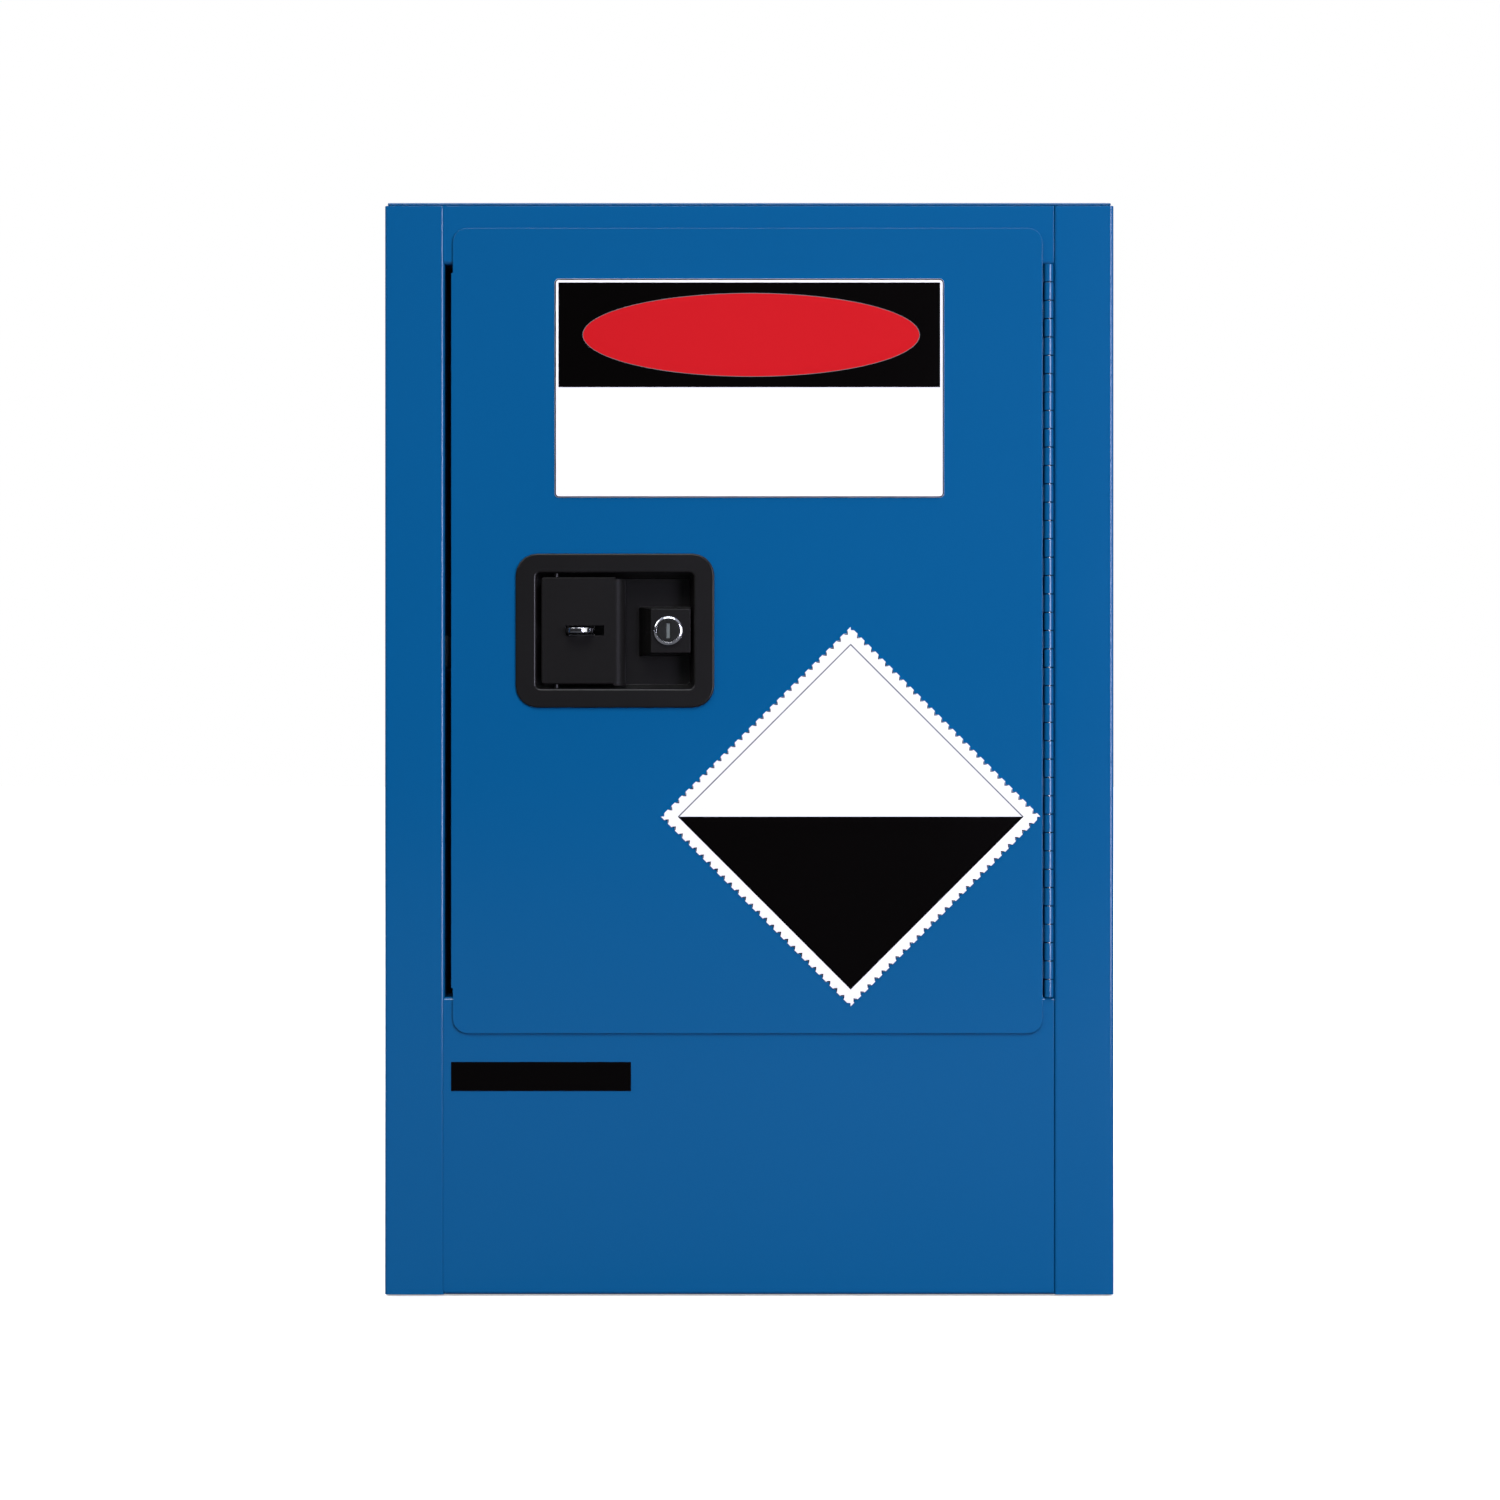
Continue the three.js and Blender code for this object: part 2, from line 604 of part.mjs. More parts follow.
function frontBottomPanel() {
  const half = SHEET / 2;
  const section = [
    [RAIL_FACE + RAIL_FLANGE, FLOOR_GAP + half],
    [RAIL_FACE + half, FLOOR_GAP + half],
    [RAIL_FACE + half, SILL - half],
    [FRONT + JAMB_DEPTH, SILL - half],
  ];
  const panel = folded(section, 'x', -OPENING - FOLD, OPENING);
  return cut(panel, sideFold(FLOOR_GAP, SILL),
    boltHole(BOTTOM_ROD_X, SILL - OVERRUN, SILL + OVERRUN));
}

// Base: a shallow pan with two cross channels under the liner and a weld nut at each foot.
const FOOT_PLACES = [
  ['front_left', -SIDE + FOOT_INSET_X, FRONT + FOOT_INSET_Y],
  ['front_right', SIDE - FOOT_INSET_X, FRONT + FOOT_INSET_Y],
  ['rear_left', -SIDE + FOOT_INSET_X, REAR - FOOT_INSET_Y],
  ['rear_right', SIDE - FOOT_INSET_X, REAR - FOOT_INSET_Y],
];
const BASE_TOP = BASE_RISE + SHEET;
const NUT_TOP = BASE_TOP + WELD_NUT_HEIGHT;

function basePanel() {
  const half = SIDE - SHEET;
  const rear = REAR - SHEET - Math.max(SHEET, BEND);
  const pan = openBox(
    -half, half, LINER_FRONT, rear, BASE_RISE, BASE_RISE + BASE_FLANGE, SHEET, 'top');
  const channelHalf = half - CHANNEL_END_GAP;
  const middles = [LINER_FRONT + CHANNEL_INSET, LINER_REAR - CHANNEL_INSET];
  const channels = middles.map((y) => {
    const outer = block(-channelHalf, channelHalf, y - CHANNEL_WIDTH / 2,
      y + CHANNEL_WIDTH / 2, BASE_RISE + SHEET / 2, LINER_BOTTOM);
    const inner = block(-channelHalf - OVERRUN, channelHalf + OVERRUN,
      y - CHANNEL_WIDTH / 2 + SHEET, y + CHANNEL_WIDTH / 2 - SHEET,
      BASE_TOP, LINER_BOTTOM - SHEET);
    return cut(outer, inner);
  });
  const nuts = FOOT_PLACES.map(
    ([, x, y]) => bar('z', x, y, WELD_NUT_RADIUS, BASE_RISE + SHEET / 2, NUT_TOP, 6));
  const bores = FOOT_PLACES.map(
    ([, x, y]) => bar('z', x, y, STUD_RADIUS + FIT, BASE_RISE - OVERRUN, NUT_TOP + OVERRUN));
  return cut(join(pan, ...channels, ...nuts), ...bores);
}

// Levelling foot: pad, shoulder, jam nut against the base, and the stud.
function foot() {
  const tip = NUT_TOP + STUD_END;
  const padAndStud = turned([
    [0, 0], [FOOT_RADIUS, 0], [FOOT_RADIUS, FOOT_PAD], [WELD_NUT_RADIUS, FOOT_SHOULDER],
    [STUD_RADIUS, FOOT_SHOULDER], [STUD_RADIUS, tip - BOLT_CHAMFER],
    [STUD_RADIUS - BOLT_CHAMFER, tip], [0, tip],
  ], 'z', SMALL_SIDES);
  const jamNut = bar('z', 0, 0, WELD_NUT_RADIUS, FOOT_PAD, BASE_RISE, 6);
  return join(padAndStud, jamNut);
}

// Liner walls: a sheet turned in under the sump, with slots for shelf clips and a vent hole.
function linerWall(side, ventZ) {
  const half = SHEET / 2;
  const section = [
    [side * (OPENING + half), HEAD],
    [side * (OPENING + half), LINER_BOTTOM + half],
    [side * (OPENING - LINER_FLANGE), LINER_BOTTOM + half],
  ];
  const sheet = folded(section, 'y', LINER_FRONT, LINER_REAR);
  const through = [side * (OPENING - OVERRUN), side * (OPENING + SHEET + OVERRUN)];
  const reach = through.sort((a, b) => a - b);
  const slots = [];
  for (let row = 0; row < SLOT_ROWS; row += 1) {
    const low = SLOT_FIRST + row * SLOT_PITCH;
    for (const y of CLIP_PLACES) {
      slots.push(block(...reach, y - SLOT_WIDTH / 2, y + SLOT_WIDTH / 2, low, low + SLOT_HEIGHT));
    }
  }
  const ventHole = bar('x', REAR - VENT_SETBACK, ventZ, VENT_RADIUS + FIT, ...reach, FINE_SIDES);
  return cut(sheet, ...slots, ventHole);
}

function linerBack() {
  const half = OPENING + SHEET;
  return block(-half, half, LINER_REAR, LINER_REAR + SHEET, LINER_BOTTOM, HEAD);
}

function linerTop() {
  const half = OPENING + SHEET;
  return block(-half, half, LINER_FRONT, LINER_REAR + SHEET, HEAD, HEAD + SHEET);
}

// Sump and its loose tray
const SUMP_HALF = OPENING - BEND - FIT;

function sumpPan() {
  return openBox(-SUMP_HALF, SUMP_HALF, LINER_FRONT, LINER_REAR - FIT,
    SUMP_FLOOR, SUMP_TOP, SHEET, 'top');
}

function sumpTray() {
  const gap = SHEET + TRAY_GAP;
  const half = SUMP_HALF - gap;
  const low = SUMP_FLOOR + SHEET;
  return openBox(-half, half, LINER_FRONT + gap, LINER_REAR - FIT - gap,
    low, low + SUMP_TRAY_HEIGHT, TRAY_WALL, 'top');
}

// Shelf clip: a plate on the liner wall, a tongue through a slot with its hook behind
// the wall, and the tab that carries the shelf. Drawn about the foot of its slot.
function shelfClip(side) {
  const wall = (inward) => side * (OPENING - inward);
  const behind = SHEET + FIT;
  const half = CLIP_WIDTH / 2;
  const tongueHalf = SLOT_WIDTH / 2 - FIT;
  const tongueTop = SLOT_HEIGHT / 2;
  return join(
    block(wall(0), wall(CLIP_SHEET), -half, half, -CLIP_HOOK, SLOT_HEIGHT),
    block(wall(CLIP_SHEET), wall(-behind - CLIP_SHEET), -tongueHalf, tongueHalf, 0, tongueTop),
    block(wall(-behind), wall(-behind - CLIP_SHEET), -tongueHalf, tongueHalf,
      -CLIP_HOOK, tongueTop),
    block(wall(0), wall(CLIP_TAB), -half, half, SLOT_HEIGHT - CLIP_SHEET, SLOT_HEIGHT),
  );
}

function shelf() {
  return openBox(-SHELF_HALF, SHELF_HALF, SHELF_FRONT, SHELF_REAR,
    SHELF_TOP - SHELF_FLANGE, SHELF_TOP, SHEET, 'bottom');
}

function shelfTray() {
  const half = SHELF_HALF - TRAY_GAP;
  return openBox(-half, half, SHELF_FRONT + TRAY_GAP, SHELF_REAR - TRAY_GAP,
    SHELF_TOP, SHELF_TOP + SHELF_TRAY_HEIGHT, TRAY_WALL, 'top');
}

// Vent collar: a tube through both walls with a flange against each, drawn along X
// from the compartment outwards.
function ventCollar() {
  const wide = VENT_RADIUS + VENT_FLANGE;
  const inner = SHEET;
  const outer = SIDE_WALL - SHEET;
  return turned([
    [VENT_BORE, 0], [VENT_RADIUS, 0], [VENT_RADIUS, inner], [wide, inner],
    [wide, inner + VENT_FLANGE_SHEET], [VENT_RADIUS, inner + VENT_FLANGE_SHEET],
    [VENT_RADIUS, outer - VENT_FLANGE_SHEET], [wide, outer - VENT_FLANGE_SHEET],
    [wide, outer], [VENT_RADIUS, outer], [VENT_RADIUS, SIDE_WALL],
    [VENT_BORE, SIDE_WALL], [VENT_BORE, 0],
  ], 'x', FINE_SIDES);
}

function ventCap() {
  const radius = VENT_BORE - FIT;
  const plug = turned(
    [[0, -CAP_DEPTH], [radius, -CAP_DEPTH], [radius, 0], [0, 0]], 'x', FINE_SIDES);
  const half = CAP_SOCKET / 2;
  return cut(plug, block(-CAP_SOCKET_DEPTH, OVERRUN, -half, half, -half, half));
}

// Arrester: a disc drilled in rings round its middle.
function ventArrester() {
  const holes = [circle(0, 0, ARRESTER_HOLE, 8)];
  for (let ring = 1; ring <= ARRESTER_RINGS; ring += 1) {
    const count = 6 * ring;
    for (let i = 0; i < count; i += 1) {
      const angle = 2 * Math.PI * i / count;
      const radius = ring * ARRESTER_PITCH;
      holes.push(circle(radius * Math.cos(angle), radius * Math.sin(angle), ARRESTER_HOLE, 8));
    }
  }
  const disc = circle(0, 0, VENT_BORE - FIT, FINE_SIDES);
  return sweep(disc, 'x', SHEET, SHEET + ARRESTER_SHEET, holes);
}

// Piano hinge: each leaf has every other knuckle. The sheet of a leaf runs along the
// jamb or the door edge and turns to its knuckles behind the pin.
const KNUCKLE_PITCH = (HEAD - SILL) / KNUCKLES;
const LEAF_START = HINGE_Y + BARREL_RADIUS + FIT;

function hingeLeaf(plateX0, plateX1, firstKnuckle) {
  const plate = block(plateX0, plateX1, LEAF_START, LEAF_START + HINGE_LEAF_WIDTH,
    SILL + FIT, HEAD - FIT);
  const outline = circle(HINGE_X, HINGE_Y, BARREL_RADIUS, SMALL_SIDES);
  const bore = circle(HINGE_X, HINGE_Y, HINGE_BORE_RADIUS, 8);
  const length = KNUCKLE_PITCH - FIT;
  const knuckle = sweep(outline, 'z', 0, length, [bore]);
  const plateIsRight = plateX1 > HINGE_X;
  const neckFrom = plateIsRight ? HINGE_X : plateX0;
  const neckTo = plateIsRight ? plateX1 : HINGE_X;
  const neckBack = LEAF_START + HINGE_LEAF;
  const neck = block(neckFrom, neckTo, HINGE_Y + BARREL_RADIUS - HINGE_LEAF, neckBack, 0, length);
  const wrapped = join(knuckle, neck);
  const copies = [];
  for (let i = firstKnuckle; i < KNUCKLES; i += 2) {
    copies.push(wrapped.translate([0, 0, SILL + FIT / 2 + i * KNUCKLE_PITCH]));
  }
  return join(plate, ...copies);
}

function hingePin() {
  return bar('z', HINGE_X, HINGE_Y, HINGE_PIN_RADIUS, SILL + FIT, HEAD - FIT, 8);
}

// Strike plates behind the bolt holes of the head and the sill
function strike(x, z) {
  const plate = block(x - STRIKE_WIDTH / 2, x + STRIKE_WIDTH / 2,
    ROD_Y - STRIKE_DEPTH / 2, ROD_Y + STRIKE_DEPTH / 2, z, z + STRIKE_SHEET);
  return cut(plate, boltHole(x, z - OVERRUN, z + STRIKE_SHEET + OVERRUN));
}

// Door outer skin: the face laps the rails, and a folded box behind it fills the opening.
function doorOuterSkin() {
  const outline = roundedRectangle(
    DOOR_LEFT + LAP_RELIEF, DOOR_RIGHT, SILL - DOOR_LAP, HEAD + DOOR_LAP, DOOR_CORNER);
  const face = join(
    sweep(outline, 'y', DOOR_FACE, DOOR_REAR_OF_SKIN),
    block(DOOR_LEFT, DOOR_LEFT + 2 * LAP_RELIEF, DOOR_FACE, DOOR_REAR_OF_SKIN,
      BOX_BOTTOM, BOX_TOP),
  );
  const walls = cut(
    block(DOOR_LEFT, DOOR_RIGHT, DOOR_REAR_OF_SKIN - DOOR_SHEET / 2, DOOR_BACK,
      BOX_BOTTOM, BOX_TOP),
    block(DOOR_LEFT + SHEET, DOOR_RIGHT - SHEET, DOOR_REAR_OF_SKIN, DOOR_BACK + OVERRUN,
      BOX_BOTTOM + SHEET, BOX_TOP - SHEET),
  );
  const play = TUB_WALL + FIT;
  const handleHole = block(TUB_LEFT - play, TUB_RIGHT + play,
    DOOR_FACE - OVERRUN, DOOR_REAR_OF_SKIN + OVERRUN,
    HANDLE_Z - TUB_HEIGHT / 2 - play, HANDLE_Z + TUB_HEIGHT / 2 + play);
  return cut(join(face, walls), handleHole,
    boltHole(TOP_ROD_X, BOX_TOP - OVERRUN, BOX_TOP + OVERRUN),
    boltHole(BOTTOM_ROD_X, BOX_BOTTOM - OVERRUN, BOX_BOTTOM + OVERRUN));
}

function doorInnerSkin() {
  const inset = SHEET + FIT;
  return openBox(DOOR_LEFT + inset, DOOR_RIGHT - inset, INNER_SKIN - INNER_FLANGE, DOOR_BACK,
    BOX_BOTTOM + inset, BOX_TOP - inset, SHEET, 'front');
}

// Latch housing: a rounded flange, the tapered tub behind it, a ramped boss for the lock
// and, behind the tub, the axle of the rotor.
function handleOutline(inset) {
  return roundedRectangle(
    HANDLE_X - HOUSING_WIDTH / 2 + inset, HANDLE_X + HOUSING_WIDTH / 2 - inset,
    HANDLE_Z - HOUSING_HEIGHT / 2 + inset, HANDLE_Z + HOUSING_HEIGHT / 2 - inset,
    HOUSING_CORNER - inset);
}

function tubOutline(wall, draft = 0) {
  const side = wall - draft;
  return roundedRectangle(TUB_LEFT - side, TUB_RIGHT + side,
    HANDLE_Z - TUB_HEIGHT / 2 - side, HANDLE_Z + TUB_HEIGHT / 2 + side, TUB_CORNER + wall);
}

// Half the height of the tub inside its tapered walls, at the depth of the paddle pin.
const PIN_ROOM = TUB_HEIGHT / 2 - TUB_DRAFT * (PIVOT_Y - HOUSING_FACE) / (TUB_FLOOR - HOUSING_FACE);

function lockBoss() {
  const left = LOCK_X - LOCK_BOSS_LEFT;
  const right = LOCK_X + LOCK_BOSS_RIGHT;
  const outline = (ramp, draft) => {
    const half = LOCK_BOSS_HEIGHT / 2 + draft;
    return [
      new THREE.Vector2(left - ramp, HANDLE_Z - half), new THREE.Vector2(right, HANDLE_Z - half),
      new THREE.Vector2(right, HANDLE_Z + half), new THREE.Vector2(left - ramp, HANDLE_Z + half),
    ];
  };
  return loft([
    { outline: outline(0, 0), y: LOCK_FACE },
    { outline: outline(LOCK_RAMP, LOCK_BOSS_DRAFT), y: TUB_FLOOR + TUB_WALL / 2 },
  ]);
}

function latchHousing() {
  const flange = loft([
    ...roundedEdge(FLANGE_ROUND).map(
      ({ inset, depth }) => ({ outline: handleOutline(inset), y: HOUSING_FACE + depth })),
    { outline: handleOutline(0), y: HOUSING_BACK },
  ]);
  const tub = loft([
    { outline: tubOutline(TUB_WALL), y: HOUSING_FACE + HOUSING_FLANGE / 2 },
    { outline: tubOutline(TUB_WALL, TUB_DRAFT), y: TUB_BACK },
  ]);
  const recess = loft([
    { outline: tubOutline(LIP_ROUND), y: HOUSING_FACE - OVERRUN },
    ...roundedEdge(LIP_ROUND).map(
      ({ inset, depth }) => ({ outline: tubOutline(inset), y: HOUSING_FACE + depth })),
    { outline: tubOutline(0, TUB_DRAFT), y: TUB_FLOOR },
  ]);
  const lockBore = bar('y', LOCK_X, HANDLE_Z, BARREL_BODY_RADIUS + FIT,
    LOCK_FACE - OVERRUN, TUB_BACK + OVERRUN, FINE_SIDES);
  const axle = bar('y', ROTOR_X, HANDLE_Z, AXLE_RADIUS, TUB_FLOOR + TUB_WALL / 2,
    BRACKET_FACE, ROUND_SIDES);
  const screwHole = bar('y', ROTOR_X, HANDLE_Z, SCREW_RADIUS + FIT,
    BRACKET_FACE - SCREW_LENGTH - FIT, BRACKET_FACE + OVERRUN);
  const legSlot = block(PIVOT_X - LEG_WIDTH / 2 - FIT, PIVOT_X + LEG_SWEEP,
    TUB_FLOOR - OVERRUN, TUB_BACK + OVERRUN,
    LEVER_Z - LEG_HEIGHT / 2 - LEG_WIDTH / 4, LEVER_Z + LEG_HEIGHT / 2 + LEG_WIDTH / 4);
  const pinReach = PIN_ROOM + PIN_GRIP + FIT;
  const pinHole = bar('z', PIVOT_X, PIVOT_Y, PADDLE_PIN_RADIUS + FIT,
    HANDLE_Z - pinReach, HANDLE_Z + pinReach);
  return cut(join(cut(join(flange, tub), recess), lockBoss(), axle),
    lockBore, screwHole, legSlot, pinHole);
}

function housingGasket() {
  return sweep(handleOutline(GASKET_INSET), 'y', HOUSING_BACK, DOOR_FACE,
    [tubOutline(TUB_WALL + FIT)]);
}

// Bracket: a strap over the rods, with a leg above and below the tub against the door skin.
function latchBracket() {
  const left = ROTOR_X - BRACKET_WIDTH / 2;
  const right = ROTOR_X + BRACKET_WIDTH / 2;
  const half = BRACKET_SHEET / 2;
  const legZ = TUB_HEIGHT / 2 + TUB_WALL + BRACKET_SIDE_GAP + half;
  const section = [
    [DOOR_REAR_OF_SKIN, HANDLE_Z + legZ],
    [BRACKET_FACE + half, HANDLE_Z + legZ],
    [BRACKET_FACE + half, HANDLE_Z - legZ],
    [DOOR_REAR_OF_SKIN, HANDLE_Z - legZ],
  ];
  const strap = folded(section, 'x', left, right, BRACKET_SHEET);
  const reach = [legZ - OVERRUN, legZ + OVERRUN];
  return cut(strap,
    bar('z', TOP_ROD_X, ROD_Y, ROD_RADIUS + FIT, HANDLE_Z + reach[0], HANDLE_Z + reach[1]),
    bar('z', BOTTOM_ROD_X, ROD_Y, ROD_RADIUS + FIT, HANDLE_Z - reach[1], HANDLE_Z - reach[0]),
    bar('y', ROTOR_X, HANDLE_Z, SCREW_RADIUS + FIT,
      BRACKET_FACE - OVERRUN, BRACKET_FACE + BRACKET_SHEET + OVERRUN));
}

function bracketScrew() {
  const seat = BRACKET_FACE + BRACKET_SHEET;
  return join(
    bar('y', ROTOR_X, HANDLE_Z, SCREW_HEAD_RADIUS, seat, seat + SCREW_HEAD_HEIGHT),
    bar('y', ROTOR_X, HANDLE_Z, SCREW_RADIUS, BRACKET_FACE - SCREW_LENGTH,
      seat + SCREW_HEAD_HEIGHT / 2, 8),
  );
}

// Hasp: a flat tongue with a round tip that stands out of the tub through the paddle, with
// an eye for a padlock shackle, on a foot against the floor of the tub.
function hasp() {
  const left = PADLOCK_SLOT_LEFT + HASP_SIDE_GAP;
  const right = left + HASP_WIDTH;
  const tip = FRONT - HASP_REACH;
  const middle = (left + right) / 2;
  const outline = [
    new THREE.Vector2(left, TUB_FLOOR), new THREE.Vector2(right, TUB_FLOOR),
    ...arc(middle, tip + HASP_WIDTH / 2, HASP_WIDTH / 2, 0, -Math.PI, 2 * CORNER_STEPS),
  ].reverse();
  const eye = circle(middle, tip + HASP_EYE_EDGE + HASP_EYE, HASP_EYE, ROUND_SIDES);
  const half = HASP_SHEET / 2;
  const tongue = sweep(outline, 'z', HANDLE_Z - half, HANDLE_Z + half, [eye]);
  const footPlate = block(left, right, TUB_FLOOR - HASP_FOOT_SHEET, TUB_FLOOR,
    HANDLE_Z - HASP_FOOT / 2, HANDLE_Z + HASP_FOOT / 2);
  return join(tongue, footPlate);
}

// Paddle: a curled plate with two pin knuckles behind it and the leg that turns the rotor.
function paddle() {
  const half = PADDLE_SHEET / 2;
  const back = PADDLE_FACE + PADDLE_SHEET;
  const right = PADDLE_LEFT + PADDLE_WIDTH;
  const curlStart = right - PADDLE_CURL - PADDLE_SHEET;
  const outline = (inset) => roundedRectangle(
    PADDLE_LEFT + inset, curlStart + PADDLE_ROUND - inset,
    HANDLE_Z - PADDLE_HALF + inset, HANDLE_Z + PADDLE_HALF - inset, PADDLE_CORNER - inset);
  const plate = loft([
    ...roundedEdge(PADDLE_ROUND).map(
      ({ inset, depth }) => ({ outline: outline(inset), y: PADDLE_FACE + depth })),
    { outline: outline(0), y: back },
  ]);
  const section = [
    [curlStart - PADDLE_ROUND, PADDLE_FACE + half],
    [right - half, PADDLE_FACE + half],
    [right - half, PADDLE_FACE + PADDLE_CURL_DEPTH],
  ];
  const curl = sweep(foldedSection(section, PADDLE_SHEET, PADDLE_CURL), 'z',
    HANDLE_Z - PADDLE_HALF - CURL_DROP, HANDLE_Z + PADDLE_HALF - CURL_DROP);
  const knuckleEnd = PADDLE_HALF - KNUCKLE_INSET;
  const knuckleStart = knuckleEnd - KNUCKLE_LENGTH;
  const lugs = [[knuckleStart, knuckleEnd], [-knuckleEnd, -knuckleStart]].map(([low, high]) => join(
    bar('z', PIVOT_X, PIVOT_Y, KNUCKLE_RADIUS, HANDLE_Z + low, HANDLE_Z + high),
    block(PIVOT_X - KNUCKLE_WEB / 2, PIVOT_X + KNUCKLE_WEB / 2, back - half, PIVOT_Y,
      HANDLE_Z + low, HANDLE_Z + high),
  ));
  const leg = block(PIVOT_X - LEG_WIDTH / 2, PIVOT_X + LEG_WIDTH / 2,
    back - half, ROTOR_BACK, LEVER_Z - LEG_HEIGHT / 2, LEVER_Z + LEG_HEIGHT / 2);
  const slotHalf = PADLOCK_SLOT_HEIGHT / 2;
  const padlockSlot = block(PADLOCK_SLOT_LEFT, PADLOCK_SLOT_LEFT + PADLOCK_SLOT_WIDTH,
    PADDLE_FACE - OVERRUN, back + half, HANDLE_Z - slotHalf, HANDLE_Z + slotHalf);
  const bore = bar('z', PIVOT_X, PIVOT_Y, PADDLE_PIN_RADIUS + FIT,
    HANDLE_Z - TUB_HEIGHT / 2, HANDLE_Z + TUB_HEIGHT / 2);
  return cut(join(plate, curl, ...lugs, leg), padlockSlot, bore);
}

function paddlePin() {
  const reach = PIN_ROOM + PIN_GRIP;
  return bar('z', PIVOT_X, PIVOT_Y, PADDLE_PIN_RADIUS, HANDLE_Z - reach, HANDLE_Z + reach);
}

// Return spring: one wire wound round the paddle pin.
class SpringWire extends THREE.Curve {
  getPoint(share, target = new THREE.Vector3()) {
    const angle = 2 * Math.PI * SPRING_TURNS * share;
    return target.set(
      PIVOT_X + SPRING_RADIUS * Math.cos(angle),
      PIVOT_Y + SPRING_RADIUS * Math.sin(angle),
      HANDLE_Z + SPRING_LENGTH * (share - 1 / 2) - SPRING_LENGTH / 6);
  }
}

function paddleSpring() {
  const wire = new THREE.Shape(circle(0, 0, SPRING_WIRE, 5));
  return solidOf(new THREE.ExtrudeGeometry(wire, {
    extrudePath: new SpringWire(), steps: 8 * SPRING_TURNS, bevelEnabled: false,
  }));
}

// Rotor: hub, cross bar with a pin for each rod, and the lever with its nose.
function rotor() {
  const armReach = ROTOR_ARM + ROTOR_ARM_WIDTH / 2;
  const armHalf = ROTOR_ARM_WIDTH / 2;
  const thick = [ROTOR_FACE, ROTOR_BACK];
  const tilted = (points, angle) => points.map(
    ([u, v]) => new THREE.Vector2(u, v).rotateAround(new THREE.Vector2(), angle)
      .add(new THREE.Vector2(ROTOR_X, HANDLE_Z)));
  const crossBar = sweep(tilted([
    [-armReach, -armHalf], [armReach, -armHalf], [armReach, armHalf], [-armReach, armHalf],
  ], HALF_SWING), 'y', ...thick);
  const leverHalf = LEG_WIDTH / 2;
  const lever = sweep(tilted([
    [-leverHalf, 0], [leverHalf, 0], [leverHalf, ROTOR_LEVER], [-leverHalf, ROTOR_LEVER],
  ], HALF_SWING), 'y', ...thick);
  const nose = block(PIVOT_X + LEG_WIDTH / 2 + NOSE_GAP, LEVER_X + leverHalf, ...thick,
    LEVER_Z - LEG_HEIGHT / 2, LEVER_Z + LEG_HEIGHT / 2);
  const hub = bar('y', ROTOR_X, HANDLE_Z, ROTOR_HUB_RADIUS, ...thick, ROUND_SIDES);
  const pins = [1, -1].map((side) => bar('y',
    ROTOR_X + side * PIN_REACH, HANDLE_Z + side * PIN_RISE, ROD_PIN_RADIUS,
    ROTOR_BACK - ROTOR_SHEET / 2, ROD_Y + ROD_END_SHEET / 2 + FIT));
  const bore = bar('y', ROTOR_X, HANDLE_Z, AXLE_RADIUS + FIT,
    ROTOR_FACE - OVERRUN, ROTOR_BACK + OVERRUN, ROUND_SIDES);
  return cut(join(hub, crossBar, lever, nose, ...pins), bore);
}

// Rod: a flat end slotted for the rotor pin, and a round bar to the edge of the door.
// The side is 1 for the top rod and -1 for the bottom rod.
function lockingRod(side, x, tip) {
  const pinZ = HANDLE_Z + side * PIN_RISE;
  const flatHalf = ROD_END_WIDTH / 2;
  const sheetHalf = ROD_END_SHEET / 2;
  const nearEnd = pinZ - side * ROD_END_WIDTH / 2;
  const farEnd = HANDLE_Z + side * (ROD_END_LENGTH + ROD_RADIUS);
  const flat = block(x - flatHalf, x + flatHalf, ROD_Y - sheetHalf, ROD_Y + sheetHalf,
    nearEnd, farEnd);
  const start = HANDLE_Z + side * ROD_END_LENGTH;
  const length = Math.abs(tip - start);
  const shaft = turned([
    [0, 0], [ROD_RADIUS, 0], [ROD_RADIUS, length - BOLT_CHAMFER],
    [ROD_RADIUS - BOLT_CHAMFER, length], [0, length],
  ], 'z', SMALL_SIDES);
  const upright = side > 0 ? shaft : shaft.rotate([180, 0, 0]);
  const placed = upright.translate([x, ROD_Y, start]);
  const play = ROD_PIN_RADIUS + ROD_SLOT_PLAY;
  const slot = block(x - play, x + play, ROD_Y - sheetHalf - OVERRUN, ROD_Y + sheetHalf + OVERRUN,
    pinZ - ROD_PIN_RADIUS - FIT, pinZ + ROD_PIN_RADIUS + FIT);
  return cut(join(flat, placed), slot);
}

// Rod guide: a nylon bush under an edge of the door box, its neck through the edge.
function rodGuide(side) {
  const bore = ROD_RADIUS + FIT;
  const neck = SHEET + FIT;
  const bush = turned([
    [bore, -GUIDE_LENGTH], [GUIDE_RADIUS, -GUIDE_LENGTH], [GUIDE_RADIUS, 0],
    [GUIDE_NECK_RADIUS, 0], [GUIDE_NECK_RADIUS, neck], [bore, neck], [bore, -GUIDE_LENGTH],
  ], 'z', ROUND_SIDES);
  return side > 0 ? bush : bush.rotate([180, 0, 0]);
}

// Lock: barrel with its front ring, the nut behind the tub, the plug with a key slot,
// and the cam on the tail of the plug.
function lockBarrel() {
  const end = TUB_BACK + BARREL_TAIL;
  return join(
    tube('y', LOCK_X, HANDLE_Z, LOCK_RING_RADIUS, LOCK_BORE_RADIUS,
      LOCK_FACE - LOCK_RING_RISE, LOCK_FACE, FINE_SIDES),
    tube('y', LOCK_X, HANDLE_Z, BARREL_BODY_RADIUS, LOCK_BORE_RADIUS,
      LOCK_FACE - LOCK_RING_RISE / 2, end, FINE_SIDES),
  );
}

